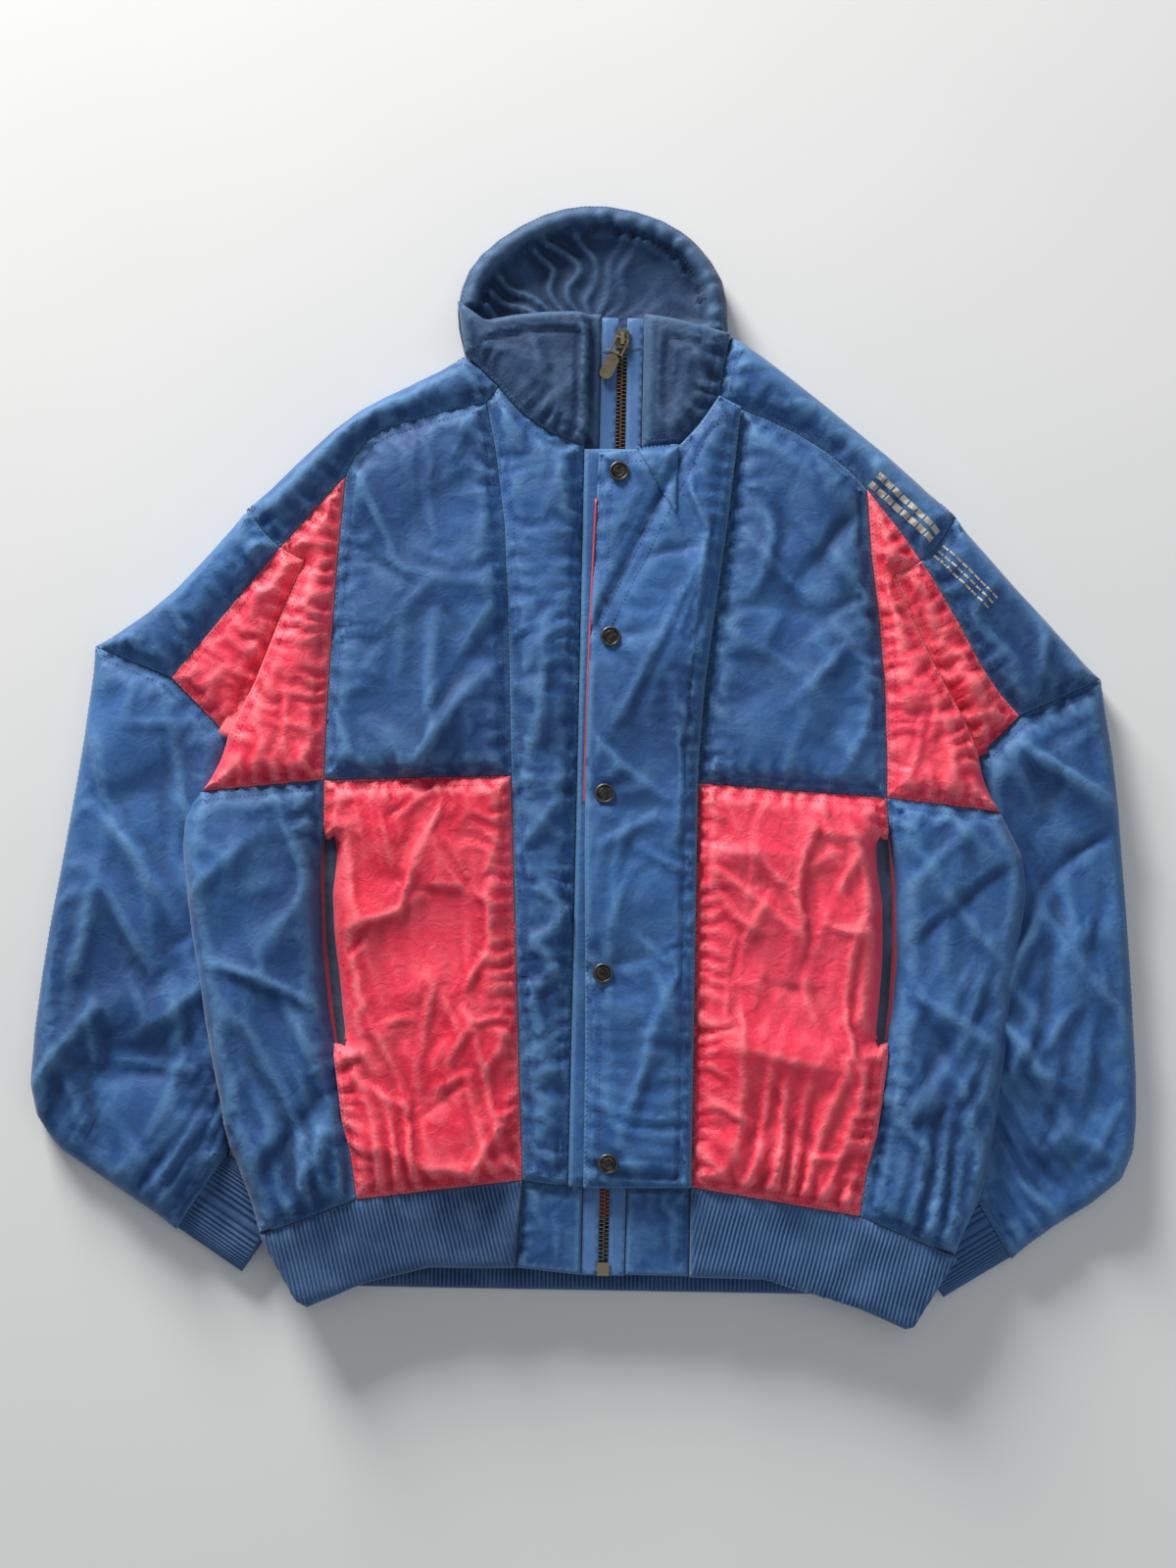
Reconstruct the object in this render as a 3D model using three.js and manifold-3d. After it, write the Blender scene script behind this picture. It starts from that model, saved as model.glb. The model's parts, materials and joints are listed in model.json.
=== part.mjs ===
// A padded ski jacket lying flat on its back, closed, built from the pieces it is sewn and assembled from.
// Millimetres. X runs to the wearer's left, Y up to the collar, Z up from the surface it lies on.
// Right and left are the wearer's. The origin is the bottom centre of the whole jacket.
import * as THREE from "three";
import { mergeVertices } from "three/addons/utils/BufferGeometryUtils.js";
import Module from "manifold-3d";

const wasm = await Module();
wasm.setup();

// Overall sizes. The cutting pattern below is drawn at the base sizes and graded to these.
const bodyWidth = 634; // across the body between its side folds
const laidLength = 848; // back collar rim to the lowest corner of the hem
const baseWidth = 634;
const baseLength = 848;

// Cloth and padding, one layer each
const backPad = 6;
const liningThickness = 2;
const coverPad = 7; // padded front above the pocket bags
const sleevePad = 5;
const sleeveRoom = 13; // inside height of a sleeve
const torsoRoom = 18; // inside height of the body
const sideWall = 8; // thickness of the padded side that ties front to back
const liningSlack = 1.5; // between a lining's edge and the side wall
const foldClearance = 0.7; // over the sleeve that lies under the side fold
const seamGap = 0.3; // between any two pieces that are sewn or lie together

// Collar, ribs and cuffs
const collarPad = 7;
const ribThickness = 6;
const frontRibThickness = 9;
const cuffLength = 60;
const cuffHeight = 17;
const cuffWall = 4;

// Hand pockets
const pocketFloor = 1.5;
const pocketRoom = 5.5;
const pocketWall = 2;
const pocketReach = 118; // from the mouth towards the middle
const pocketTop = -48; // highest point of the bag, along Y
const pocketBottom = -250;
const pocketMouth = 6; // width of the slit that the hand goes through
const mouthTop = -66;
const mouthBottom = -215;

// Zip
const toothPitch = 6;
const toothLength = 3.4;
const toothReach = 1.1; // how far a tooth stands out from its bead
const beadWidth = 1.4;
const chainSlit = 1.4; // between the two rows, where the slider's web runs
const chainThickness = 2.6;
const tapeThickness = 1;
const zipBoxLength = 9.5;
const zipBoxWidth = 9;
const runningGap = 0.4; // between the slider and whatever it passes
const sliderWidth = 10;
const sliderLength = 14;
const sliderBackPlate = 1.1;
const sliderFrontPlate = 1.4;
const flangeWidth = 1.5;
const flangeReach = 0.8;
const bridgeRoom = 2.1;
const bridgeBar = 0.8;
const bridgeWidth = 3;
const bridgeLength = 9;
const bridgeFoot = 1.5;
const linkWire = 1.4;
const linkLength = 12; // between the two cross wires
const linkWidth = 10.5;
const tagLength = 22;
const tagWidth = 10;
const tagThickness = 1.8;
const knuckleWidth = 5;
const knuckleWall = 0.6;
const tagTilt = -0.42; // how far the tag lies over to the wearer's right, in radians

// Placket
const tunnelRight = 27; // zip line to the padded edge of the wearer's right front
const tunnelLeft = 16;
const flyThickness = 2.5;
const flyReach = 30; // past the zip line
const flapThickness = 5;

// Snap fasteners
const snapCapRadius = 7.5;
const snapCapHeight = 2;
const snapNeckRadius = 2.6;
const socketRadius = 4.6;
const socketHeight = 1.5;
const studBaseRadius = 5;
const studBaseHeight = 0.8;
const studPostRadius = 1.9;
const snapSides = 16;

// Sleeve joint
const swingRadius = 75; // the shoulder is divided on this arc, so that a sleeve can swing

// Heights of the stacked layers, from the surface up
const backTop = backPad;
const backLiningLow = backTop + seamGap;
const backLiningTop = backLiningLow + liningThickness;
const frontLiningLow = backLiningTop + torsoRoom;
const frontLiningTop = frontLiningLow + liningThickness;
const shellLow = frontLiningTop + seamGap;
const pocketRim = shellLow + pocketFloor + pocketRoom;
const coverLow = pocketRim + seamGap;
const shellTop = coverLow + coverPad;
const sleeveInner = sleevePad + sleeveRoom;
const sleeveTop = sleeveInner + seamGap + sleevePad + 1;
const foldLow = sleeveTop + foldClearance;
const sliderLow = frontLiningTop + runningGap;
const chainLow = sliderLow + sliderBackPlate + runningGap;
const chainTop = chainLow + chainThickness;
const tapeLow = (chainLow + chainTop - tapeThickness) / 2;
const tapeTop = tapeLow + tapeThickness;
const frontPlateLow = chainTop + runningGap;
const sliderTop = frontPlateLow + sliderFrontPlate;
const bridgeTop = sliderTop + bridgeRoom + bridgeBar;
const linkMiddle = sliderTop + bridgeRoom / 2;
const facingTop = linkMiddle - tagThickness / 2 - runningGap;
const flyLow = bridgeTop + runningGap;
const flyTop = flyLow + flyThickness;
const studLow = flyTop + seamGap;
const socketLow = studLow + studBaseHeight + seamGap;
const socketTop = socketLow + socketHeight;
const flapLow = socketTop + seamGap;
const flapTop = flapLow + flapThickness;
const capLow = flapTop + seamGap;

// Finishes
const finishes = {
  shell: { color: 0x3c5c8c, roughness: 0.78, metalness: 0 },
  red: { color: 0xdc3c4b, roughness: 0.5, metalness: 0 },
  rib: { color: 0x2d5082, roughness: 0.95, metalness: 0 },
  lining: { color: 0x34496e, roughness: 0.6, metalness: 0 },
  pocketing: { color: 0x9a3346, roughness: 0.7, metalness: 0 },
  tape: { color: 0x6496d2, roughness: 0.9, metalness: 0 },
  brass: { color: 0x6e5f46, roughness: 0.4, metalness: 0.9 },
  snap: { color: 0x3c3c37, roughness: 0.45, metalness: 0.8 },
};

const grade = (x, y) => new THREE.Vector2((x * bodyWidth) / baseWidth, (y * laidLength) / baseLength);
const straight = (points) => points.map(([x, y]) => grade(x, y));
const curved = (points, steps) => new THREE.SplineCurve(straight(points)).getPoints(steps);
const backwards = (path) => [...path].reverse();

const shortestEdge = 0.5;

// Joins paths end to end into one outline, without the points that they share.
function outline(...paths) {
  const points = paths.flat();
  return points.filter((point, i) => point.distanceTo(points[(i + 1) % points.length]) > shortestEdge);
}

// Moves every edge of a closed outline inwards by the same distance.
function insetOutline(points, distance) {
  const ring = THREE.ShapeUtils.area(points) < 0 ? backwards(points) : points;
  return ring.map((point, i) => {
    const before = ring[(i + ring.length - 1) % ring.length];
    const after = ring[(i + 1) % ring.length];
    const edgeIn = point.clone().sub(before).normalize();
    const edgeOut = after.clone().sub(point).normalize();
    const normalIn = new THREE.Vector2(-edgeIn.y, edgeIn.x);
    const normalOut = new THREE.Vector2(-edgeOut.y, edgeOut.x);
    const corner = normalIn.clone().add(normalOut).normalize();
    return point.clone().addScaledVector(corner, distance / Math.max(corner.dot(normalIn), 0.3));
  });
}

// Moves an open path sideways; a positive distance is to the left of its direction.
function besidePath(path, distance) {
  return path.map((point, i) => {
    const before = path[Math.max(i - 1, 0)];
    const after = path[Math.min(i + 1, path.length - 1)];
    const along = after.clone().sub(before).normalize();
    return new THREE.Vector2(point.x - along.y * distance, point.y + along.x * distance);
  });
}

// Splits a path where it last leaves a circle: what comes before, then what lies outside.
function splitAtCircle(path, centre, radius) {
  const i = path.findLastIndex((point) => point.distanceTo(centre) <= radius) + 1;
  const from = path[i - 1];
  const step = path[i].clone().sub(from);
  const away = from.clone().sub(centre);
  const a = step.lengthSq();
  const b = 2 * away.dot(step);
  const c = away.lengthSq() - radius * radius;
  const t = (-b + Math.sqrt(b * b - 4 * a * c)) / (2 * a);
  const crossing = from.clone().addScaledVector(step, t);
  const clear = (point) => point.distanceTo(crossing) > swingRadius / 25;
  return {
    inside: [...path.slice(0, i).filter(clear), crossing],
    outside: [crossing, ...path.slice(i).filter(clear)],
    crossing,
  };
}

// The stretch of a falling path between two pattern heights.
function pathBetween(path, high, low) {
  const pointAt = (level) => {
    const i = path.findIndex((point) => point.y < level);
    const share = (path[i - 1].y - level) / (path[i - 1].y - path[i].y);
    return path[i - 1].clone().lerp(path[i], share);
  };
  const [top, bottom] = [grade(0, high).y, grade(0, low).y];
  const between = path.filter((point) => point.y < top - 1 && point.y > bottom + 1);
  return [pointAt(top), ...between, pointAt(bottom)];
}

function arcBetween(centre, start, end, steps) {
  const from = start.clone().sub(centre).angle();
  let turn = end.clone().sub(centre).angle() - from;
  if (turn > Math.PI) turn -= 2 * Math.PI;
  if (turn < -Math.PI) turn += 2 * Math.PI;
  const radius = start.distanceTo(centre);
  return Array.from({ length: steps + 1 }, (_, i) => {
    const angle = from + (turn * i) / steps;
    return new THREE.Vector2(centre.x + radius * Math.cos(angle), centre.y + radius * Math.sin(angle));
  });
}

function toSolid(geometry) {
  geometry.deleteAttribute("normal");
  geometry.deleteAttribute("uv");
  const merged = mergeVertices(geometry, 1e-4);
  const vertProperties = new Float32Array(merged.attributes.position.array);
  const triVerts = new Uint32Array(merged.index.array);
  return new wasm.Manifold(new wasm.Mesh({ numProp: 3, vertProperties, triVerts }));
}

function toGeometry(solid) {
  const { vertProperties, triVerts, numProp } = solid.getMesh();
  const geometry = new THREE.BufferGeometry();
  const positions = new Float32Array((vertProperties.length / numProp) * 3);
  for (let i = 0; i < positions.length / 3; i++) {
    positions.set(vertProperties.subarray(i * numProp, i * numProp + 3), i * 3);
  }
  geometry.setAttribute("position", new THREE.BufferAttribute(positions, 3));
  geometry.setIndex(new THREE.BufferAttribute(new Uint32Array(triVerts), 1));
  geometry.computeVertexNormals();
  return geometry;
}

// A flat piece: the outline between two heights, drawn in from its neighbours by half a seam gap.
function slab(points, low, high, margin = seamGap / 2) {
  const shape = new THREE.Shape(insetOutline(points, margin));
  const geometry = new THREE.ExtrudeGeometry(shape, { depth: high - low, bevelEnabled: false });
  return toSolid(geometry.translate(0, 0, low));
}

function block(x, y, z, width, length, height) {
  return toSolid(new THREE.BoxGeometry(width, length, height).translate(x, y, z));
}

const jacket = new THREE.Group();

function addPiece(name, finish, solid, parent = jacket) {
  const geometry = solid.isBufferGeometry ? solid : toGeometry(solid);
  const piece = new THREE.Mesh(geometry, new THREE.MeshStandardMaterial(finishes[finish]));
  piece.name = name;
  parent.add(piece);
  return piece;
}

// ---- The cutting pattern ----

const zipHead = grade(29.6, 323);
const zipFoot = grade(14.2, -385);
const zipLength = zipHead.distanceTo(zipFoot);
const zipTurn = Math.atan2(zipHead.x - zipFoot.x, zipHead.y - zipFoot.y);

// A point at a sideways distance from the zip line, at a pattern height.
function besideZip(distance, y) {
  const height = grade(0, y).y;
  const share = (zipHead.y - height) / (zipHead.y - zipFoot.y);
  return new THREE.Vector2(zipHead.x + (zipFoot.x - zipHead.x) * share + distance, height);
}

const hemSeamHeight = -320;
const tabFoot = -385;
const neckHeight = 229;
const collarRimHeight = 334;

const sides = {
  right: {
    sign: -1,
    pivot: grade(-183, 215),
    yoke: curved([[-179, 209.5], [-162, 238], [-127, 252], [-73.4, 265]], 6),
    yokeEnd: straight([[-73.4, 265], [-64, 277]]),
    chestInner: curved([[-73.4, 265], [-59.5, 171.5], [-54, -17]], 4),
    lowerInner: straight([[-54, -17], [-44.9, -315.4]]),
    chestOuter: curved([[-179, 209.5], [-187, 115], [-191.6, 27], [-193.4, -20.4]], 4),
    crossInner: straight([[-193.4, -20.4], [-54, -17]]),
    crossOuter: straight([[-287, -29], [-193.4, -20.4]]),
    lowerOuter: curved([[-193.4, -20.4], [-191.6, -134], [-177.8, -249.7], [-166.8, -329.2]], 8),
    sideFold: curved(
      [[-287, -29], [-302, -55], [-294.6, -133], [-281.4, -211], [-265.4, -282.5], [-239, -356]], 12),
    sideHem: straight([[-239, -356], [-166.8, -329.2]]),
    lowerHem: straight([[-166.8, -329.2], [-44.9, -315.4]]),
    collarSide: straight([[-64, 277], [-90, 303]]),
    neckLine: [...curved([[-64, 277], [-48, 258], [-25.6, 242]], 4), besideZip(-tunnelRight - 6.6, 234)],
    shoulderLine: curved([[-90, 303], [-131, 283], [-183, 254], [-252, 188], [-314, 122.6], [-370.5, 82.5]], 14),
    gussetSeam: straight([[-179, 209.5], [-229, 153], [-311, 58]]),
    elbowOuter: straight([[-370.5, 82.5], [-311, 58]]),
    elbowInner: straight([[-311, 58], [-266, 12]]),
    foldLine: curved([[-203, 159], [-226, 105], [-245.6, 53.6], [-266, 12], [-287, -29]], 8),
    legLine: curved([[-266, 12], [-262, -29], [-256, -133], [-246, -211], [-228, -282], [-200, -345]], 10),
    forearmOuter: curved([[-370.5, 82.5], [-380, 6], [-393, -75], [-407, -160], [-414, -250],
      [-396, -290], [-369, -310], [-303, -354]], 16),
    forearmInner: curved([[-266, 12], [-272, -60], [-270, -133], [-263, -211], [-266, -299]], 8),
    ribFoot: straight([[-211, -404], [-202.6, -408], [-160, -390], [-114, -379], [-50.7, -379.5]]),
    ribFold: -190,
    collarRim: curved([[-74, 329], [-40, 335], [-4, 336]], 3),
    collarEdge: straight([[-90, 303], [-96, 345], [-74, 329]]),
  },
  left: {
    sign: 1,
    pivot: grade(209, 205),
    yoke: curved([[213, 199], [190, 222], [153.4, 245.3], [118.6, 260]], 5),
    yokeEnd: straight([[118.6, 260], [101.8, 268.6]]),
    chestInner: curved([[118.6, 260], [108, 171.5], [90.6, 49.6], [85, -22.6]], 6),
    lowerInner: straight([[85, -22.6], [78.9, -320.5]]),
    chestOuter: curved([[213, 199], [217, 135], [223, 83], [226, 7], [225.6, -33.6]], 5),
    crossInner: straight([[225.6, -33.6], [85, -22.6]]),
    crossOuter: straight([[312.8, -44.5], [225.6, -33.6]]),
    lowerOuter: curved([[225.6, -33.6], [229.6, -136], [221, -230], [202.6, -341.6]], 8),
    sideFold: curved([[312.8, -44.5], [332.5, -87], [324.5, -162], [310, -260], [296.7, -325], [274, -372]], 12),
    sideHem: straight([[274, -372], [202.6, -341.6]]),
    lowerHem: straight([[202.6, -341.6], [78.9, -320.5]]),
    collarSide: straight([[101.8, 268.6], [111, 318]]),
    neckLine: curved([[101.8, 268.6], [84, 243], [70.4, 231.4], [52, 229]], 6),
    shoulderLine: curved([[111, 318], [131, 309], [200, 254], [266, 195.6], [332, 122.6], [392, 57]], 14),
    gussetSeam: curved([[213, 199], [251, 148.6], [285.4, 92], [306, 55], [328.6, 29]], 6),
    elbowOuter: straight([[392, 57], [328.6, 29]]),
    elbowInner: straight([[328.6, 29], [295.3, -3]]),
    foldLine: curved([[223, 160], [231, 140], [248, 96], [267.5, 56], [282.5, 27.7], [295.3, -3],
      [312.8, -44.5]], 12),
    legLine: curved([[295.3, -3], [286, -44], [284, -133], [273, -211], [256, -282], [214, -352]], 10),
    forearmOuter: curved([[392, 57], [401, 0], [406, -67], [411, -150], [413, -206], [414, -272],
      [402, -318], [352, -352], [318, -376]], 16),
    forearmInner: curved([[295.3, -3], [296, -60], [296, -133], [290, -211], [284, -318]], 8),
    ribFoot: straight([[242, -422.7], [235.8, -424], [199.7, -408], [133, -387.6], [77.7, -386]]),
    ribFold: 196,
    collarRim: curved([[110, 319], [80, 328], [54, 333]], 3),
    collarEdge: straight([[111, 318], [113, 322], [110, 319]]),
  },
};

for (const side of Object.values(sides)) {
  side.shoulder = splitAtCircle(side.shoulderLine, side.pivot, swingRadius);
  side.gusset = splitAtCircle(side.gussetSeam, side.pivot, swingRadius);
  side.fold = splitAtCircle(side.foldLine, side.pivot, swingRadius);
  side.shoulderArc = arcBetween(side.pivot, side.shoulder.crossing, side.gusset.crossing, 6);
  side.gussetArc = arcBetween(side.pivot, side.gusset.crossing, side.fold.crossing, 3);
  side.armhole = side.fold.outside.filter((point) => point.y >= side.legLine[0].y - 0.01);
  side.legInner = besidePath(side.legLine, -side.sign * sideWall);
  side.rib = outline(backwards(side.lowerHem), backwards(side.sideHem), side.ribFoot);
  side.belowArm = [new THREE.Vector2(2 * side.crossOuter[0].x, side.crossOuter[0].y), ...side.crossOuter,
    new THREE.Vector2(0, side.crossOuter[1].y), new THREE.Vector2(0, -laidLength),
    new THREE.Vector2(2 * side.crossOuter[0].x, -laidLength)];
}
const { right, left } = sides;

// ---- Back of the jacket ----

const backNeck = curved([[111, 318], [60, 300], [10, 294], [-45, 292], [-90, 303]], 8);
const backHem = straight([[-200, -347], [214, -354]]);

const sideOfBack = (side) => outline(side.shoulder.inside, side.shoulderArc, side.gussetArc,
  side.armhole, side.legLine);
const backOutline = outline(sideOfBack(right), backHem, backwards(sideOfBack(left)), backNeck);

// The linings stop inside the side walls, and run to the edge of the armholes.
const liningEdge = sideWall + liningSlack;
const sideOfLining = (side) => outline(
  besidePath(side.shoulder.inside, -side.sign * liningEdge),
  [...side.shoulderArc, ...side.gussetArc].filter((point) =>
    point.distanceTo(side.shoulder.crossing) > 2 * liningEdge),
  side.armhole,
  besidePath(side.legLine, -side.sign * liningEdge).slice(1));
const liningPlan = outline(sideOfLining(right), backwards(sideOfLining(left)), backNeck.slice(1, -1));

addPiece("back_shell", "shell", slab(backOutline, 0, backTop));
addPiece("back_lining", "lining", slab(liningPlan, backLiningLow, backLiningTop));

const ribFoot = 50; // depth of the back rib
addPiece("hem_rib_back", "rib",
  slab(straight([[-200, -347], [-198, -347 - ribFoot], [205, -354 - ribFoot], [214, -354]]), 0, ribThickness));

// ---- Front lining, cut round the neck and open along the zip ----

const neckCut = slab(outline(backwards(right.neckLine), right.collarSide,
  [grade(-90, 500), grade(111, 500)], backwards(left.collarSide), left.neckLine), 0, shellTop, 0);
for (const [name, side] of Object.entries(sides)) {
  const halfPlane = [besideZip(0, -500), besideZip(0, 500), grade(side.sign * 500, 500),
    grade(side.sign * 500, -500)];
  const half = slab(halfPlane, frontLiningLow - 1, frontLiningTop + 1, 1);
  const full = slab(liningPlan, frontLiningLow, frontLiningTop);
  const belowHem = slab(side.rib, 0, shellTop, -seamGap);
  addPiece(`${name}_front_lining`, "lining", full.intersect(half).subtract(neckCut).subtract(belowHem));
}

// ---- Front panels ----

for (const [name, side] of Object.entries(sides)) {
  const { sign } = side;
  addPiece(`${name}_chest_panel`, "shell",
    slab(outline(side.yoke, side.chestInner, backwards(side.crossInner), backwards(side.chestOuter)),
      shellLow, shellTop));

  addPiece(`${name}_upper_side`, "red",
    slab(outline(side.gusset.inside, side.gussetArc, side.fold.outside, side.crossOuter,
      backwards(side.chestOuter)), shellLow, shellTop));

  // The side is one padded piece: the front layer, its folded edge, and the wall down to the back.
  const sidePlan = outline(side.lowerOuter, backwards(side.sideHem), backwards(side.sideFold), side.crossOuter);
  const foldPlan = outline(side.sideFold, backwards(side.legInner).slice(0, -1));
  const wallPlan = outline(side.legLine.slice(1), backwards(side.legInner.slice(1)));
  const layers = slab(sidePlan, shellLow, shellTop)
    .add(slab(foldPlan, foldLow, shellTop))
    .add(slab(wallPlan, backTop + seamGap, shellTop));
  addPiece(`${name}_lower_side`, "shell",
    layers.intersect(slab(side.belowArm, 0, shellTop)).subtract(slab(side.rib, 0, shellTop, -seamGap)));

  // The red panel stops short of the side seam where the hand goes into the pocket.
  const panel = slab(outline(side.lowerOuter, side.lowerHem, backwards(side.lowerInner),
    backwards(side.crossInner)), coverLow, shellTop);
  const mouth = pathBetween(side.lowerOuter, mouthTop, mouthBottom);
  const slit = slab(outline(besidePath(mouth, sign * 5), backwards(besidePath(mouth, -sign * pocketMouth))),
    shellLow, shellTop + 1, 0);
  addPiece(`${name}_lower_panel`, "red", panel.subtract(slit));

  const bagEdge = pathBetween(side.lowerOuter, pocketTop, pocketBottom);
  const bagPlan = outline(bagEdge, backwards(besidePath(bagEdge, -sign * pocketReach)));
  const hollow = outline(besidePath(bagEdge, sign * 5),
    backwards(besidePath(bagEdge, -sign * pocketReach)));
  const room = slab(hollow, shellLow + pocketFloor, pocketRim + 1, pocketWall);
  addPiece(`${name}_pocket_bag`, "pocketing", slab(bagPlan, shellLow, pocketRim).subtract(room));

  // Shoulder: the top layer up to the swing arc, with the wall that closes it along the shoulder line.
  const shoulderPlan = outline(side.shoulder.inside, side.shoulderArc, backwards(side.gusset.inside),
    side.yoke, side.yokeEnd, side.collarSide);
  const shoulderWall = outline(side.shoulder.inside,
    backwards(besidePath(side.shoulder.inside, -sign * sideWall)));
  addPiece(`${name}_shoulder`, "shell",
    slab(shoulderPlan, shellLow, shellTop)
      .add(slab(shoulderWall, backTop + seamGap, shellTop).intersect(slab(shoulderPlan, 0, shellTop))));
}

// ---- Centre fronts and placket ----

const rightCentrePlan = outline(backwards(right.yokeEnd), right.chestInner, right.lowerInner,
  [besideZip(-tunnelRight, hemSeamHeight), besideZip(-tunnelRight, neckHeight + 3)],
  backwards(right.neckLine));
const facingPlan = [besideZip(-tunnelRight - 2, hemSeamHeight), besideZip(-tunnelLeft, hemSeamHeight),
  besideZip(-tunnelLeft, neckHeight), besideZip(-tunnelRight - 2, neckHeight + 3)];
addPiece("right_centre_front", "shell",
  slab(rightCentrePlan, shellLow, shellTop).add(slab(facingPlan, shellLow, facingTop)));

const leftCentrePlan = outline([besideZip(tunnelLeft, hemSeamHeight)], backwards(left.lowerInner),
  backwards(left.chestInner), left.yokeEnd, left.neckLine, [besideZip(tunnelLeft, neckHeight)]);
addPiece("left_centre_front", "shell", slab(leftCentrePlan, shellLow, flyLow - seamGap));

const flyPlan = [besideZip(-tunnelRight, hemSeamHeight), besideZip(flyReach, hemSeamHeight),
  besideZip(flyReach, neckHeight), besideZip(-tunnelRight, neckHeight)];
addPiece("zip_fly", "shell", slab(flyPlan, flyLow, flyTop));

// The flap folds open along a straight line just inside the seam that holds it.
const hingeFoot = grade(73, -320.5);
const hingeHead = grade(84, 243);
const flapEdge = curved([[11.3, 225], [4.7, 86], [1, -23], [1, -133], [1, -228], [-0.4, -320.5]], 10);
const snapPlaces = [[26.6, 209.5], [20, 85.4], [15.7, -31.4], [14.2, -163.5], [17.9, -302]];

const drum = (place, radius, low, high) => toSolid(
  new THREE.CylinderGeometry(radius, radius, high - low, snapSides)
    .rotateX(Math.PI / 2)
    .translate(place.x, place.y, (low + high) / 2));

let flap = slab([...flapEdge, hingeFoot, hingeHead, grade(72, 231)], flapLow, flapTop);
for (const [x, y] of snapPlaces) {
  flap = flap.subtract(drum(grade(x, y), snapNeckRadius + seamGap, flapLow - 1, flapTop + 1));
}
addPiece("storm_flap", "shell", flap);
addPiece("storm_flap_root", "shell",
  slab(outline([hingeHead, hingeFoot], backwards(left.lowerInner), backwards(left.chestInner), left.yokeEnd,
    left.neckLine.slice(0, 3)), flyLow, flapTop));

// A piece turned about a vertical axis; its profile runs from the axis and back to it.
const turned = (profile) =>
  new THREE.LatheGeometry(profile.map(([r, z]) => new THREE.Vector2(r, z)), snapSides).rotateX(Math.PI / 2);

const studProfile = [[0, studLow], [studBaseRadius, studLow], [studBaseRadius, studLow + studBaseHeight],
  [studPostRadius, studLow + studBaseHeight], [studPostRadius, socketTop], [0, socketTop]];
const socketRoof = socketTop + seamGap;
const capEdge = 0.55; // share of the cap's height that is its upright rim
const capProfile = [[0, socketRoof], [studPostRadius + seamGap, socketRoof],
  [studPostRadius + seamGap, socketLow], [socketRadius, socketLow], [socketRadius, socketTop],
  [snapNeckRadius, socketTop], [snapNeckRadius, capLow], [snapCapRadius, capLow],
  [snapCapRadius, capLow + snapCapHeight * capEdge], [snapCapRadius * 0.8, capLow + snapCapHeight],
  [0, capLow + snapCapHeight]];

snapPlaces.forEach(([x, y], i) => {
  const place = grade(x, y);
  const fasteners = { snap_stud: studProfile, snap_cap: capProfile };
  for (const [name, profile] of Object.entries(fasteners)) {
    addPiece(`${name}_${i + 1}`, "snap", toSolid(turned(profile))).position.set(place.x, place.y, 0);
  }
});

// ---- Hem ribs and the woven tabs on each side of the zip ----

for (const [name, side] of Object.entries(sides)) {
  const { sign } = side;
  const beyond = (x) => {
    const far = grade(sign * 500, 0).x;
    return [grade(x, -500), new THREE.Vector2(far, grade(0, -500).y),
      new THREE.Vector2(far, 0), grade(x, 0)];
  };
  const front = slab(side.rib, shellLow, shellLow + frontRibThickness);
  const fold = slab(side.rib, foldLow, shellLow + frontRibThickness)
    .intersect(slab(beyond(side.ribFold), 0, shellTop, 0));
  const wallBack = slab(beyond(side.ribFold + sign * sideWall), 0, shellTop, 0);
  const wallReach = slab(straight([[side.ribFold - 30, -353], [side.ribFold - 30, -395],
    [side.ribFold + 30, -395], [side.ribFold + 30, -353]]), 0, shellTop, 0);
  const wall = slab(side.rib, ribThickness + seamGap, shellLow + frontRibThickness)
    .intersect(slab(beyond(side.ribFold), 0, shellTop, 0))
    .subtract(wallBack)
    .intersect(wallReach);
  addPiece(`hem_rib_${name}`, "rib", front.add(fold).add(wall));

  const zipSide = sign < 0 ? [besideZip(-tunnelLeft, hemSeamHeight), besideZip(-tunnelRight, hemSeamHeight)]
    : [besideZip(tunnelLeft, hemSeamHeight)];
  const tabPlan = [side.ribFoot.at(-1), besideZip(sign * tunnelLeft, tabFoot), ...zipSide,
    side.lowerHem.at(-1)];
  addPiece(`hem_tab_${name}`, "shell", slab(tabPlan, shellLow, facingTop));
}

// ---- Collar ----

const collarFront = {
  right: [...backwards(right.neckLine), ...right.collarSide.slice(1), ...right.collarEdge,
    ...right.collarRim, besideZip(-tunnelRight, collarRimHeight), besideZip(-tunnelRight, neckHeight + 3)],
  left: [...backwards(left.neckLine), ...left.collarSide.slice(1), ...left.collarEdge,
    ...left.collarRim, besideZip(tunnelLeft, collarRimHeight), besideZip(tunnelLeft, neckHeight)],
};
const collarLow = shellLow + 1.4;
const collarFacing = [besideZip(-tunnelRight - 2, neckHeight + 4.5), besideZip(-tunnelRight, neckHeight + 3),
  besideZip(-tunnelLeft, neckHeight),
  besideZip(-tunnelLeft, collarRimHeight), besideZip(-tunnelRight - 2, collarRimHeight)];
addPiece("collar_right", "shell",
  slab(outline(collarFront.right), collarLow, shellTop).add(slab(collarFacing, collarLow, facingTop)));
addPiece("collar_left", "shell", slab(outline(collarFront.left), collarLow, shellTop));

// The back of the collar is a shallow trough: its floor and the two sides that rise to the front halves.
const collarBackEdge = curved([[-90, 303], [-97, 345], [-80, 385], [-30, 418], [21.5, 424], [75, 405],
  [107, 365], [111, 318]], 21);
const collarWall = (path, sign) => slab(outline(path, backwards(besidePath(path, sign * sideWall))),
  0, collarLow - seamGap);
addPiece("collar_back", "shell",
  slab(outline(collarBackEdge, backNeck), 0, collarPad)
    .add(collarWall(collarBackEdge.slice(0, 5), -1))
    .add(collarWall(collarBackEdge.slice(-4), -1)));

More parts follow.
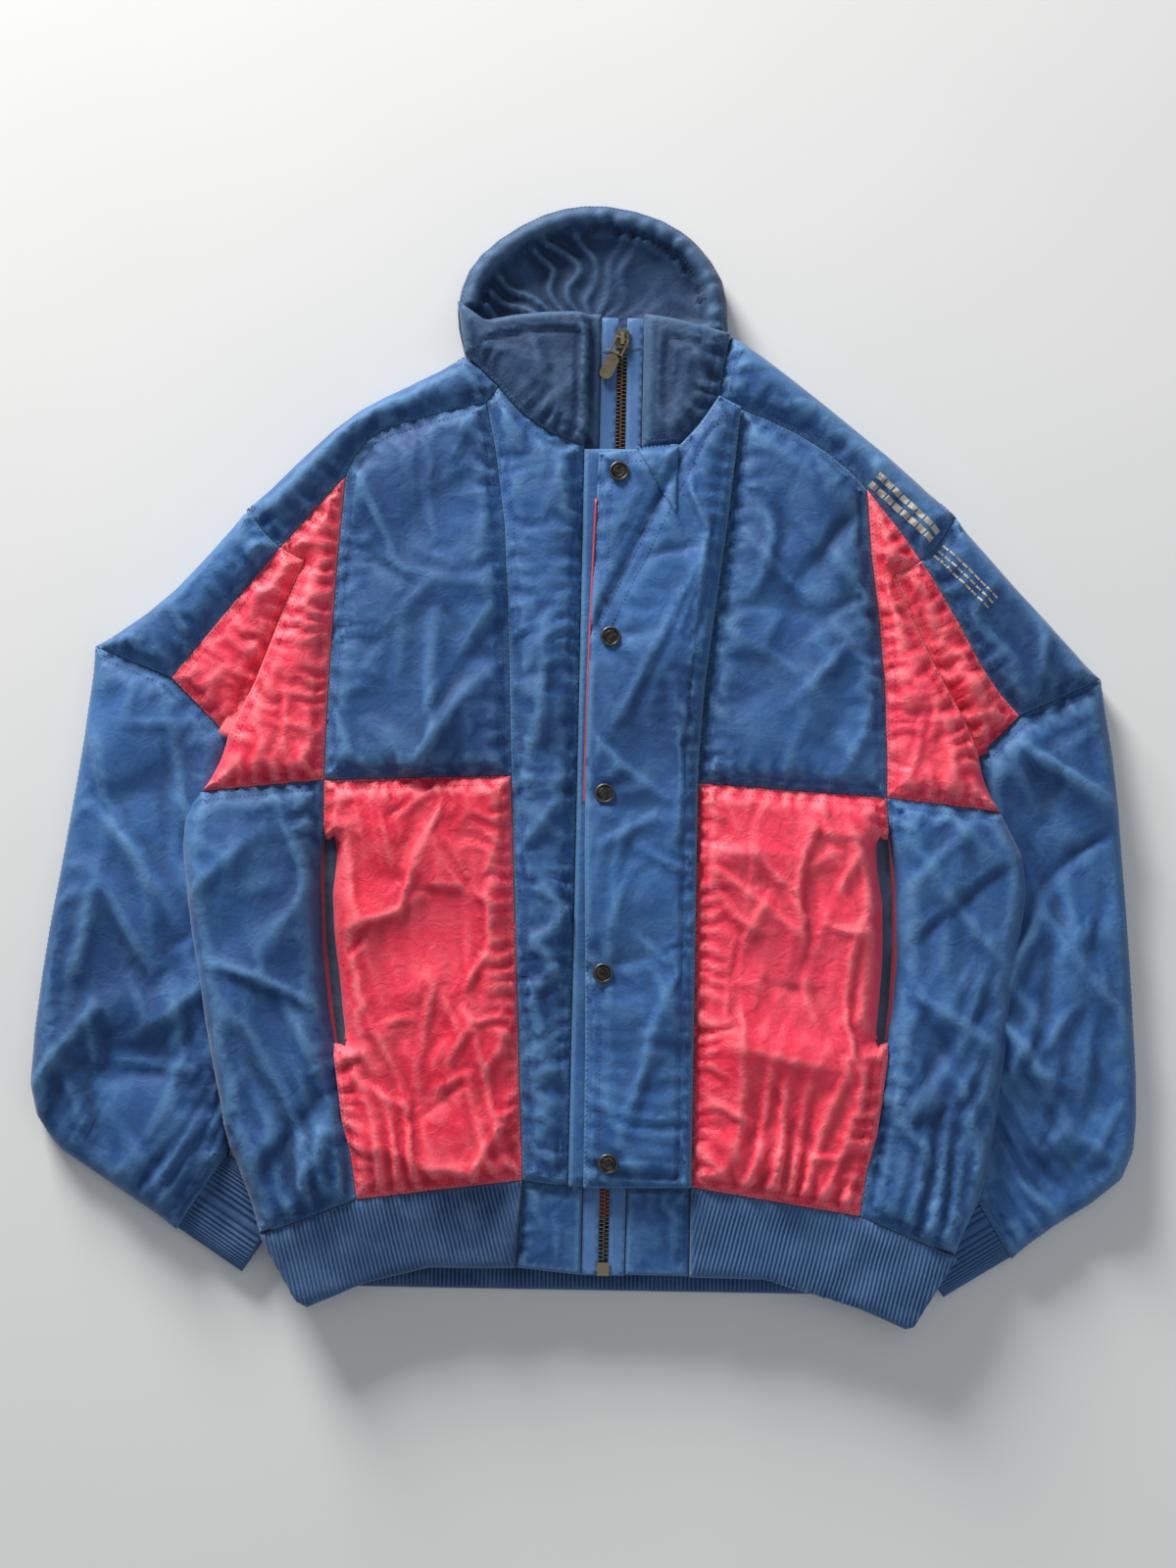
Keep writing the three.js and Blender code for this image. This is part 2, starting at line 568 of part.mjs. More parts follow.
const hangerWidth = 60;
const hangerDepth = 6;
addPiece("hanger_loop", "tape",
  slab(straight([[10 - hangerWidth / 2, 274], [10 - hangerWidth / 2, 274 - hangerDepth],
    [10 + hangerWidth / 2, 274 - hangerDepth], [10 + hangerWidth / 2, 274]]),
    backLiningTop + seamGap, backLiningTop + seamGap + 1.5));

// ---- Zip, in its own frame: the head of the chain at the origin and the chain running down -Y ----

const zip = new THREE.Group();
zip.position.set(zipHead.x, zipHead.y, 0);
zip.rotation.z = -zipTurn;
jacket.add(zip);

const chainEnd = -(zipLength - zipBoxLength - 1);
const rowInner = chainSlit / 2;
for (const [name, { sign }] of Object.entries(sides)) {
  const at = (x, y) => new THREE.Vector2(sign * x, y);
  const beadInner = rowInner + toothReach;
  const comb = [at(beadInner + beadWidth, chainEnd), at(beadInner + beadWidth, 0)];
  const stagger = sign > 0 ? 0 : toothPitch / 2;
  for (let y = -stagger - 1; y - toothLength > chainEnd; y -= toothPitch) {
    comb.push(at(beadInner, y), at(rowInner, y), at(rowInner, y - toothLength), at(beadInner, y - toothLength));
  }
  comb.push(at(beadInner, chainEnd));
  addPiece(`zip_teeth_${name}`, "brass", slab(comb, chainLow, chainTop, 0), zip);

  const tapeInner = beadInner + beadWidth + seamGap;
  const tapeOuter = tunnelLeft - seamGap;
  addPiece(`zip_tape_${name}`, "tape",
    slab([at(tapeInner, -zipLength), at(tapeOuter, -zipLength), at(tapeOuter, 8), at(tapeInner, 8)],
      tapeLow, tapeTop, 0), zip);
}

const boxY = -zipLength + zipBoxLength / 2;
const boxHeight = chainThickness + 1.2;
const boxTapeRoom = tapeThickness + 2 * seamGap;
addPiece("zip_box", "brass",
  block(0, boxY, (chainLow + chainTop) / 2, zipBoxWidth, zipBoxLength, boxHeight)
    .subtract(block(0, boxY, (tapeLow + tapeTop) / 2, zipBoxWidth + 1, zipBoxLength + 1, boxTapeRoom))
    .add(block(0, boxY, (chainLow + chainTop) / 2, 2 * (rowInner + toothReach + beadWidth), zipBoxLength,
      boxHeight)), zip);

// Slider: two plates joined by a thin web that runs in the slit between the rows.
const slider = new THREE.Group();
slider.position.y = -sliderLength / 2 - 2;
zip.add(slider);
const plate = (low, high) => block(0, 0, (low + high) / 2, sliderWidth, sliderLength, high - low);
const flanges = (low, high) => [-1, 1].map((sign) =>
  block((sign * (sliderWidth - flangeWidth)) / 2, 0, (low + high) / 2, flangeWidth, sliderLength, high - low));
const webWidth = chainSlit - 2 * seamGap;
const bridgeLow = sliderTop - 0.2;
let sliderBody = plate(sliderLow, sliderLow + sliderBackPlate)
  .add(plate(frontPlateLow, sliderTop))
  .add(block(0, 0, (sliderLow + sliderTop) / 2, webWidth, sliderLength, sliderTop - sliderLow));
const flangeFoot = sliderLow + sliderBackPlate;
for (const flange of [...flanges(flangeFoot - 0.2, flangeFoot + flangeReach),
  ...flanges(frontPlateLow - flangeReach, frontPlateLow + 0.2)]) {
  sliderBody = sliderBody.add(flange);
}
const arch = block(0, 0, (bridgeLow + bridgeTop) / 2, bridgeWidth, bridgeLength, bridgeTop - bridgeLow)
  .subtract(block(0, 0, sliderTop + bridgeRoom / 2, bridgeWidth + 1, bridgeLength - 2 * bridgeFoot,
    bridgeRoom));
addPiece("zip_slider", "brass", sliderBody.add(arch), slider);

// The link turns about its wire under the bridge; the tag turns about the link's other wire.
const pull = new THREE.Group();
pull.position.set(0, 0, linkMiddle);
pull.rotation.z = tagTilt;
slider.add(pull);
const frame = block(0, -linkLength / 2, 0, linkWidth, linkLength + linkWire, linkWire)
  .subtract(block(0, -linkLength / 2, 0, linkWidth - 2 * linkWire, linkLength - linkWire, linkWire + 1));
addPiece("pull_link", "brass", frame, pull);

const wireRadius = (linkWire / 2) * Math.SQRT2;
const boreRadius = wireRadius + seamGap;
const knuckleRadius = boreRadius + knuckleWall;
const knuckleTube = toSolid(new THREE.CylinderGeometry(knuckleRadius, knuckleRadius, knuckleWidth, snapSides)
  .rotateZ(Math.PI / 2));
const knuckleBore = toSolid(new THREE.CylinderGeometry(boreRadius, boreRadius, knuckleWidth + 1, snapSides)
  .rotateZ(Math.PI / 2));
const tagStart = knuckleRadius + 0.6;
const tagShape = new THREE.Shape();
const tagCorner = tagWidth / 2;
tagShape.moveTo(-knuckleWidth / 2, 0);
tagShape.lineTo(-knuckleWidth / 2, -tagStart);
tagShape.lineTo(-tagWidth / 2, -tagStart - 2);
tagShape.lineTo(-tagWidth / 2, -tagLength + tagCorner);
tagShape.absarc(0, -tagLength + tagCorner, tagCorner, Math.PI, 2 * Math.PI, false);
tagShape.lineTo(tagWidth / 2, -tagStart - 2);
tagShape.lineTo(knuckleWidth / 2, -tagStart);
tagShape.lineTo(knuckleWidth / 2, 0);
const tagPlate = toSolid(new THREE.ExtrudeGeometry(tagShape,
  { depth: tagThickness, bevelEnabled: false, curveSegments: 10 }).translate(0, 0, -tagThickness / 2));
addPiece("pull_tag", "brass", tagPlate.add(knuckleTube).subtract(knuckleBore), pull).position.y = -linkLength;

// ---- Sleeves ----

for (const [name, side] of Object.entries(sides)) {
  const { sign } = side;

  // From the elbow seam up to the shoulder the sleeve rises to the level of the front.
  const elbowA = side.elbowOuter[0];
  const elbowB = side.elbowInner[1];
  const seamDirection = elbowB.clone().sub(elbowA).normalize();
  const uphill = new THREE.Vector2(-seamDirection.y, seamDirection.x).multiplyScalar(-sign);
  const reach = Math.max(...side.shoulderArc.map((point) => point.clone().sub(elbowA).dot(uphill)));
  const rise = shellTop - sleeveTop;
  const lift = (geometry) => {
    const position = geometry.attributes.position;
    for (let i = 0; i < position.count; i++) {
      if (position.getZ(i) < sleeveInner) continue;
      const away = (position.getX(i) - elbowA.x) * uphill.x + (position.getY(i) - elbowA.y) * uphill.y;
      position.setZ(i, position.getZ(i) + (rise * Math.max(away, 0)) / reach);
    }
    return geometry;
  };

  const topLow = sleeveInner + seamGap;
  const stripPlan = outline(side.shoulder.outside, side.elbowOuter, backwards(side.gusset.outside),
    backwards(side.shoulderArc));
  const stripWall = outline(side.shoulder.outside,
    backwards(besidePath(side.shoulder.outside, -sign * sideWall)));
  addPiece(`${name}_sleeve_strip`, "shell",
    lift(toGeometry(slab(stripPlan, topLow, sleeveTop)
      .add(slab(stripWall, sleevePad + seamGap, sleeveTop).intersect(slab(stripPlan, 0, shellTop))))));

  const gussetPlan = outline(side.gusset.outside, side.elbowInner, backwards(side.armhole),
    backwards(side.gussetArc));
  addPiece(`${name}_sleeve_gusset`, "red", lift(toGeometry(slab(gussetPlan, topLow, sleeveTop))));

  const forearmPlan = outline(side.elbowOuter, side.elbowInner, side.forearmInner,
    backwards(side.forearmOuter));
  const walls = [[side.forearmOuter, -sign], [side.forearmInner, sign]].map(([path, inward]) =>
    slab(outline(path, backwards(besidePath(path, inward * sideWall))), sleevePad + seamGap, sleeveTop));
  addPiece(`${name}_forearm`, "shell",
    slab(forearmPlan, topLow, sleeveTop)
      .add(walls[0].add(walls[1]).intersect(slab(forearmPlan, 0, shellTop))));

  addPiece(`${name}_sleeve_back`, "shell",
    slab(outline(side.shoulder.outside, side.forearmOuter, backwards(side.forearmInner),
      backwards(side.armhole), backwards(side.gussetArc), backwards(side.shoulderArc)), 0, sleevePad));

  // The cuff is a flattened tube that leaves the sleeve square to its end.
  const endOuter = side.forearmOuter.at(-1);
  const endInner = side.forearmInner.at(-1);
  const across = endInner.clone().sub(endOuter);
  const cuffWidth = across.length() - 1;
  across.normalize().multiplyScalar(-sign);
  const along = new THREE.Vector2(across.y, -across.x);
  const section = roundedSection(cuffWidth, cuffHeight);
  section.holes.push(roundedSection(cuffWidth - 2 * cuffWall, cuffHeight - 2 * cuffWall));
  const cuff = new THREE.ExtrudeGeometry(section, { depth: cuffLength, bevelEnabled: false, curveSegments: 3 });
  const piece = addPiece(`${name}_cuff`, "rib", toSolid(cuff));
  const basis = new THREE.Matrix4().makeBasis(
    new THREE.Vector3(across.x, across.y, 0),
    new THREE.Vector3(0, 0, 1),
    new THREE.Vector3(along.x, along.y, 0));
  const start = endInner.clone().add(endOuter).multiplyScalar(0.5).addScaledVector(along, seamGap);
  piece.quaternion.setFromRotationMatrix(basis);
  piece.position.set(start.x, start.y, cuffHeight / 2);
}

function roundedSection(width, height) {
  const radius = height * 0.45;
  const [x, y] = [width / 2 - radius, height / 2 - radius];
  const shape = new THREE.Shape();
  shape.absarc(x, y, radius, 0, Math.PI / 2, false);
  shape.absarc(-x, y, radius, Math.PI / 2, Math.PI, false);
  shape.absarc(-x, -y, radius, Math.PI, 1.5 * Math.PI, false);
  shape.absarc(x, -y, radius, 1.5 * Math.PI, 2 * Math.PI, false);
  return shape;
}

export default jacket;
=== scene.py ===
import json
import math
from collections import defaultdict
import bpy
import numpy as np
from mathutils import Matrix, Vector
from mathutils.bvhtree import BVHTree
from mathutils.geometry import delaunay_2d_cdt


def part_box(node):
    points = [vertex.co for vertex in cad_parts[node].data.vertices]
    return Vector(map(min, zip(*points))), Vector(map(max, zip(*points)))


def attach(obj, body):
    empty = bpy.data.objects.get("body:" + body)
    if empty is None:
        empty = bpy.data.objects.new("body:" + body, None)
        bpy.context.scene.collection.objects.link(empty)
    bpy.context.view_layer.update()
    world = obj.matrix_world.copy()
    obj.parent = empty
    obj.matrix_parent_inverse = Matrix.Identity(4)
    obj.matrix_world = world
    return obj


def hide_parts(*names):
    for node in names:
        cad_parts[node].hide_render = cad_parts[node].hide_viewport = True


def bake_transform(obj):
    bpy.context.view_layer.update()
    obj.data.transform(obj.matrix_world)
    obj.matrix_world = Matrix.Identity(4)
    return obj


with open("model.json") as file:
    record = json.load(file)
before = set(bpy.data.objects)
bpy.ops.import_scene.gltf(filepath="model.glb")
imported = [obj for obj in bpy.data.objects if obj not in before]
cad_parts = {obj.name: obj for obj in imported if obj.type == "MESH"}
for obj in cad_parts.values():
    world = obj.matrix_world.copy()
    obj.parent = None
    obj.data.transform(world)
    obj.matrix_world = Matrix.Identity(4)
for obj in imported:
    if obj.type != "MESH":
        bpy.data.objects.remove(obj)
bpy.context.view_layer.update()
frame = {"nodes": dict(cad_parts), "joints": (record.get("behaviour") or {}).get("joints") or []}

metre = 0.001  # everything below is worked out in millimetres
print("jacket: frame loaded,", len(frame["nodes"]), "nodes")


# outlines and heights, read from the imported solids

def facingLoops(node, sign):
    mesh = frame["nodes"][node].data
    places, points, number = {}, [], []
    for vertex in mesh.vertices:
        key = tuple(round(c, 6) for c in vertex.co)
        if key not in places:
            places[key] = len(points)
            points.append((vertex.co.x / metre, vertex.co.y / metre))
        number.append(places[key])
    directed = set()
    for face in mesh.polygons:
        if face.normal.z * sign > 0.3:
            corners = [number[i] for i in face.vertices]
            directed.update(zip(corners, corners[1:] + corners[:1]))
    following = defaultdict(list)
    for a, b in sorted(directed):
        if (b, a) not in directed:
            following[a].append(b)
    loops = []
    while following:
        start = next(iter(following))
        loop, here = [start], start
        while here in following:
            onward = following[here].pop()
            if not following[here]:
                del following[here]
            here = onward
            if here == start:
                break
            loop.append(here)
        if len(loop) > 2:
            loops.append(np.array([points[i] for i in loop]))
    return loops


def loopArea(loop):
    x, y = loop[:, 0], loop[:, 1]
    return 0.5 * (np.dot(x, np.roll(y, -1)) - np.dot(y, np.roll(x, -1)))


outlines = {}


def outlineOf(node, topOnly=False):
    key = (node, topOnly)
    if key not in outlines:
        found = facingLoops(node, 1) + ([] if topOnly else facingLoops(node, -1))
        loop = max(found, key=lambda each: abs(loopArea(each)))
        outlines[key] = loop if loopArea(loop) > 0 else loop[::-1]
    return outlines[key]


def evenly(loop, spacing):
    out = []
    for a, b in zip(loop, np.roll(loop, -1, axis=0)):
        steps = max(1, int(round(np.linalg.norm(b - a) / spacing)))
        out += [a + (b - a) * i / steps for i in range(steps)]
    return np.array(out)


def insideLoop(points, loop):
    x, y = points[:, 0], points[:, 1]
    inside = np.zeros(len(points), bool)
    for (ax, ay), (bx, by) in zip(loop, np.roll(loop, -1, axis=0)):
        if ay != by:
            crosses = ((ay > y) != (by > y)) & (x < (bx - ax) * (y - ay) / (by - ay) + ax)
            inside ^= crosses
    return inside


def nearestOn(points, starts, ends):
    # distance to a set of segments, which segment is nearest, and how far along it
    gaps, which, share = [], [], []
    along = ends - starts
    square = np.maximum((along ** 2).sum(1), 1e-9)
    for chunk in np.array_split(points, max(1, len(points) // 1500 + 1)):
        away = chunk[:, None, :] - starts[None]
        t = np.clip((away * along[None]).sum(2) / square[None], 0, 1)
        gap = np.sqrt(((away - t[..., None] * along[None]) ** 2).sum(2))
        best = gap.argmin(1)
        rows = np.arange(len(chunk))
        gaps.append(gap[rows, best])
        which.append(best)
        share.append(t[rows, best])
    return np.concatenate(gaps), np.concatenate(which), np.concatenate(share)


def boxOf(node):
    return [np.array(corner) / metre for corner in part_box(node)]


def treeOf(points, faces):
    return BVHTree.FromPolygons([Vector(p) for p in points], faces.tolist())


def meet(tree, x, y, fromAbove=True):
    start, way = (200, -1) if fromAbove else (-100, 1)  # clear of the jacket on either side
    return tree.ray_cast(Vector((x, y, start)), Vector((0, 0, way)))


surfaces = {}


def cadHeight(node, points, fromAbove=True):
    if node not in surfaces:
        mesh = frame["nodes"][node].data
        surfaces[node] = BVHTree.FromPolygons([v.co / metre for v in mesh.vertices],
                                              [list(p.vertices) for p in mesh.polygons])
    found = np.full(len(points), np.nan)
    for i, (x, y) in enumerate(points):
        hit = meet(surfaces[node], x, y, fromAbove)
        if hit[0] is not None:
            found[i] = hit[0].z
    return found


def fillMissing(points, values):
    missing = np.isnan(values)
    known = points[~missing]
    for i in np.nonzero(missing)[0]:
        values[i] = values[~missing][((known - points[i]) ** 2).sum(1).argmin()]
    return values


# smooth random fields, the same on every run

def grain(x, y, seed):
    left, low = np.floor(x).astype(np.int64), np.floor(y).astype(np.int64)
    fx, fy = x - left, y - low

    def corner(ix, iy):
        mixed = (ix * 374761393 + iy * 668265263 + seed * 974711) & 0xFFFFFFFF
        mixed = ((mixed ^ (mixed >> 13)) * 1274126177) & 0xFFFFFFFF
        turn = ((mixed ^ (mixed >> 16)) & 0xFFFF) / 65535.0 * 2 * math.pi
        return np.cos(turn) * (x - ix) + np.sin(turn) * (y - iy)

    sx, sy = fx * fx * (3 - 2 * fx), fy * fy * (3 - 2 * fy)
    bottom = corner(left, low) * (1 - sx) + corner(left + 1, low) * sx
    top = corner(left, low + 1) * (1 - sx) + corner(left + 1, low + 1) * sx
    return bottom * (1 - sy) + top * sy


foldShape = {"bow": 0.0016, "ripple": 1.2, "rippleRun": 23, "steep": 1.7, "gentle": 0.75,
             "standing": 0.68, "sunken": -0.7, "endPower": 3, "sidePower": 1.2}


def folds(flat, area, sets, seed):
    # separate folds with smooth cloth between them; a set is how many per 100 x 100 mm, angle and
    # spread in degrees, then the ranges of length, width and height
    draw = np.random.default_rng(seed)
    total = np.zeros(len(flat))
    shape, slopes = foldShape, (foldShape["steep"], foldShape["gentle"])
    for many, angle, spreadBy, lengths, widths, heights in sets:
        for _ in range(max(1, int(round(many * area / 10000)))):
            centre = flat[draw.integers(len(flat))]
            turn = math.radians(angle + draw.normal() * spreadBy)
            length, width, height = (draw.uniform(*pair) for pair in (lengths, widths, heights))
            away = flat - centre
            u = away[:, 0] * math.cos(turn) + away[:, 1] * math.sin(turn)
            v = away[:, 1] * math.cos(turn) - away[:, 0] * math.sin(turn)
            v = v - draw.normal() * shape["bow"] * u * u \
                - draw.normal() * shape["ripple"] * np.sin(u / shape["rippleRun"])
            near, far = slopes if draw.random() < 0.5 else slopes[::-1]
            steep = np.where(v > 0, near, far)
            taper = np.exp(-(np.abs(u) / (length / 2)) ** shape["endPower"])
            side = 1 if draw.random() < shape["standing"] else shape["sunken"]
            total += side * height * taper \
                * np.exp(-(np.abs(v) * steep / width) ** shape["sidePower"])
    return total


# pattern cutting: a fine flat mesh of one panel, or of several that are cut as one

def cutPattern(loops, spacing, rings):
    seeds, edges, starts, ends = [], [], [], []
    for loop in loops:
        ring = evenly(loop, spacing)
        first = len(seeds)
        seeds += list(ring)
        edges += [(first + i, first + (i + 1) % len(ring)) for i in range(len(ring))]
        starts.append(ring)
        ends.append(np.roll(ring, -1, axis=0))
    starts, ends = np.vstack(starts), np.vstack(ends)
    low, high = starts.min(0), starts.max(0)
    rows = np.arange(low[1], high[1], spacing * 0.87)
    grid = [(x + (i % 2) * spacing / 2, y) for i, y in enumerate(rows)
            for x in np.arange(low[0], high[0], spacing)]
    grid = np.array(grid)
    grid += 0.22 * spacing * np.stack([grain(grid[:, 0] / 3.1, grid[:, 1] / 3.7, 3),
                                       grain(grid[:, 0] / 3.3, grid[:, 1] / 2.9, 4)], 1)
    inside = np.any([insideLoop(grid, loop) for loop in loops], axis=0)
    grid = grid[inside]
    gap = nearestOn(grid, starts, ends)[0]
    inner = [grid[gap > (rings[-1] if rings else 0) + 0.6 * spacing]]
    middle = (starts + ends) / 2
    along = ends - starts
    inward = np.stack([-along[:, 1], along[:, 0]], 1) / np.linalg.norm(along, axis=1)[:, None]
    for offset in rings:
        band = middle + inward * offset
        inner.append(band[nearestOn(band, starts, ends)[0] > 0.9 * offset])
    points = np.vstack([np.array(seeds)] + inner)
    flat, _, faces, *_ = delaunay_2d_cdt([Vector(p) for p in points], edges, [], 0, 1e-5)
    flat = np.array([tuple(p) for p in flat])
    faces = np.array([f for f in faces if len(f) == 3])
    centre = flat[faces].mean(1)
    keep = np.any([insideLoop(centre, loop) for loop in loops], axis=0)
    if len(loops) > 1:
        close = [nearestOn(centre, loop, np.roll(loop, -1, axis=0))[0] < 1.2 for loop in loops]
        keep |= np.sum(close, axis=0) >= 2
    faces = faces[keep]
    a, b, c = flat[faces[:, 0]], flat[faces[:, 1]], flat[faces[:, 2]]
    turn = (b[:, 0] - a[:, 0]) * (c[:, 1] - a[:, 1]) - (b[:, 1] - a[:, 1]) * (c[:, 0] - a[:, 0])
    faces = faces[np.abs(turn) > 1e-7]
    turn = turn[np.abs(turn) > 1e-7]
    faces[turn < 0] = faces[turn < 0][:, ::-1]
    used, faces = np.unique(faces, return_inverse=True)
    return flat[used], faces.reshape(-1, 3)


def borderOf(faces):
    directed = {(int(a), int(b)) for f in faces for a, b in zip(f, np.roll(f, -1))}
    onward = {a: b for a, b in sorted(directed) if (b, a) not in directed}
    loops = []
    while onward:
        start = next(iter(onward))
        loop, here = [], start
        while here in onward:
            loop.append(here)
            here = onward.pop(here)
        loops.append(loop)
    return sorted(loops, key=len, reverse=True)


def closeShell(cut, top, under):
    # the upper side, the under side, and the turned-in edge between them
    count = len(top)
    faces = [tuple(f) for f in cut["faces"]]
    faces += [(int(f[2]) + count, int(f[1]) + count, int(f[0]) + count) for f in cut["faces"]]
    for loop in cut["border"]:
        for a, b in zip(loop, loop[1:] + loop[:1]):
            faces.append((b, a, a + count, b + count))
    return np.vstack([top, under]), faces


def closeGrid(at):
    # the same for a sheet of rows and columns, whose under side is numbered after it
    count, faces = at.size, []
    corners = (at[:-1, :-1], at[1:, :-1], at[1:, 1:], at[:-1, 1:])
    for four in zip(*(corner.ravel().tolist() for corner in corners)):
        faces.append(four)
        faces.append(tuple(i + count for i in reversed(four)))
    rim = [int(i) for i in (*at[:, 0], *at[-1, 1:], *at[:-1, -1][::-1], *at[0, 1:-1][::-1])]
    for a, b in zip(rim, rim[1:] + rim[:1]):
        faces.append((b, a, a + count, b + count))
    return faces


def tubeFaces(rings, around):
    # between rings of as many points each, with both ends closed
    faces = []
    for i in range(rings - 1):
        for j in range(around):
            k = (j + 1) % around
            faces.append((i * around + k, i * around + j, (i + 1) * around + j,
                          (i + 1) * around + k))
    last = (rings - 1) * around
    return faces + [tuple(range(around)), tuple(last + j for j in range(around - 1, -1, -1))]


frontNodes = ["zip_fly", "storm_flap", "storm_flap_root"]
for side in ("right", "left"):
    frontNodes += [side + "_" + part for part in ("chest_panel", "upper_side", "lower_side",
                   "lower_panel", "shoulder", "centre_front", "sleeve_strip",
                   "sleeve_gusset", "forearm", "cuff")]
    frontNodes += ["hem_rib_" + side, "hem_tab_" + side, "collar_" + side]
sewnWithin = 2.4  # edges nearer than this are sewn together


def layOut(nodes, spacing, rings, topOnly=False, loops=None):
    loops = loops or [outlineOf(node, topOnly) for node in nodes]
    flat, faces = cutPattern(loops, spacing, rings)
    border = borderOf(faces)
    chain = [np.array(loop) for loop in border if len(loop) > 8]
    starts = np.vstack([flat[loop] for loop in chain])
    ends = np.vstack([flat[np.roll(loop, -1)] for loop in chain])
    others = [n for n in frontNodes if n not in nodes]
    otherStarts = np.vstack([outlineOf(n) for n in others])
    otherEnds = np.vstack([np.roll(outlineOf(n), -1, axis=0) for n in others])
    free = (nearestOn(starts, otherStarts, otherEnds)[0] > sewnWithin).astype(float)
    smooth, onward, at = free.copy(), np.arange(len(starts)) + 1, 0
    for loop in chain:
        last = at + len(loop)
        smooth[at:last] = sum(np.roll(free[at:last], k) for k in range(-3, 4)) / 7
        onward[last - 1] = at
        at = last
    gap, which, share = nearestOn(flat, starts, ends)
    lengths = np.linalg.norm(ends - starts, axis=1)
    run = np.concatenate([[0], np.cumsum(lengths)[:-1]])
    freeHere = smooth[which] * (1 - share) + smooth[onward[which]] * share
    return {"flat": flat, "faces": faces, "border": border, "gap": gap, "free": freeHere,
            "run": run[which] + share * lengths[which], "starts": starts, "ends": ends,
            "freeEdge": smooth}


sewing = {"ledgeSoft": 1.5, "ledge": 0.55, "slope": 0.45, "nickRun": 1.1, "crownRun": 40,
          "puckerReach": 17, "puckerStart": 1.2, "wander": 7, "foldStart": 9, "swellRun": 55,
          "swellStart": 25, "gatherStart": 4, "gatherEdge": 6, "groove": 1.2, "grooveWide": 0.9,
          "ridge": 1.9, "ridgeWide": 1.5, "step": 1.0, "stepRun": 1.2}


def gathersOn(flat, gap, sets):
    # cloth drawn in by the knit it is sewn to
    total = 0
    y = flat[:, 1]
    for knitNode, depth, pitch, reach in sets:
        loop = outlineOf(knitNode)
        far = nearestOn(flat, loop, np.roll(loop, -1, axis=0))[0]
        way = np.linalg.svd(loop - loop.mean(0), full_matrices=False)[2][0]
        phase = (flat @ way) / pitch + 1.5 * grain(flat[:, 0] / 55, y / 110, 29)
        wave = 1 - 2.0 * np.abs(np.sin(math.pi * phase)) ** 0.8
        level = np.clip(0.55 + 1.5 * grain(phase / 1.7, y / 200, 30), 0.1, 1.2)
        start = 1 - np.exp(-far / sewing["gatherStart"])
        total = total + depth * wave * level * np.exp(-far / reach) * start
    return total * (1 - np.exp(-gap / sewing["gatherEdge"]))


def shapeTop(cut, nodes, look):
    flat, gap, free = cut["flat"], cut["gap"], cut["free"]
    x, y = flat[:, 0], flat[:, 1]
    sewn = 1 - free
    top = np.full(len(flat), np.nan)
    for node in nodes:
        top = np.where(np.isnan(top), cadHeight(node, flat), top)
    top = fillMissing(flat, top)
    ledge = 1 / (1 + np.exp((gap - look["bandWide"]) / sewing["ledgeSoft"]))  # the stitched band
    seam = look["seamDepth"] * (sewing["ledge"] * ledge
                                + sewing["slope"] * np.exp(-gap / look["seamRun"]))
    seam = (seam + look["seamNick"] * np.exp(-gap / sewing["nickRun"])) * sewn
    around = np.clip(gap / look["edgeRound"], 0, 1)
    roll = (top - look["edgeLow"]) * (1 - np.sqrt(1 - (1 - around) ** 2)) * free
    crown = look["crown"] * (1 - np.exp(-gap / sewing["crownRun"]))
    puckers = look["pucker"] * np.exp(-(gap / sewing["puckerReach"]) ** 2) \
        * (1 - np.exp(-gap / sewing["puckerStart"])) * sewn
    puckers = puckers * np.sin(cut["run"] / look["puckerPitch"]
                               + sewing["wander"] * grain(x / 24, y / 24, 17))
    puckers = puckers * np.clip(0.7 + 1.8 * grain(x / 38, y / 38, 23), 0.15, 1.6)
    area = sum(abs(loopArea(outlineOf(node))) for node in nodes)
    body = folds(flat, area, look["creases"], look["seed"]) \
        * (1 - np.exp(-gap / sewing["foldStart"]))
    swellRun = sewing["swellRun"]
    soft = look["swell"] * grain(x / swellRun, y / swellRun, look["seed"]) * 2 \
        * (1 - np.exp(-gap / sewing["swellStart"]))
    gathers = gathersOn(flat, gap, look["gathers"])
    lip = look["bandAt"]
    collarBand = 0
    if lip:
        collarBand = free * (sewing["ridge"] * np.exp(-((gap - lip) / sewing["ridgeWide"]) ** 2)
                             + sewing["step"] / (1 + np.exp(-(gap - lip) / sewing["stepRun"])))
    grooves = 0
    for offset in look["stitchAt"]:
        grooves = grooves + sewing["groove"] \
            * np.exp(-((gap - offset) / sewing["grooveWide"]) ** 2) * sewn
    return top - seam - roll + crown + puckers + body + soft + gathers - grooves - collarBand


underside = {"lift": 0.3, "run": 20, "below": 2.2, "thin": 1.2}


def shapeLow(piece):
    cut, look, top = piece["cut"], piece["look"], piece["top"][:, 2]
    flat, free = cut["flat"], cut["free"]
    low = np.full(len(flat), np.nan)
    for node in piece["nodes"]:
        found = cadHeight(node, flat, fromAbove=False)
        low = np.where(np.isnan(low), found, np.fmin(low, found))
    low = np.maximum(fillMissing(flat, low), look["lowFloor"]) + underside["lift"]
    ease = np.clip(cut["gap"] / underside["run"], 0, 1)
    edge = look["edgeLow"] - underside["below"]
    low = low * (1 - free) + free * (edge + (low - edge) * ease * ease)
    return np.minimum(low, top - underside["thin"])


# cloth and metal finishes

def newFinish(name):
    finish = bpy.data.materials.new(name)
    finish.use_nodes = True
    tree = finish.node_tree
    shader = tree.nodes["Principled BSDF"]
    return finish, tree, shader


def feed(tree, socket, value):
    if isinstance(value, bpy.types.NodeSocket):
        tree.links.new(value, socket)
    else:
        socket.default_value = value


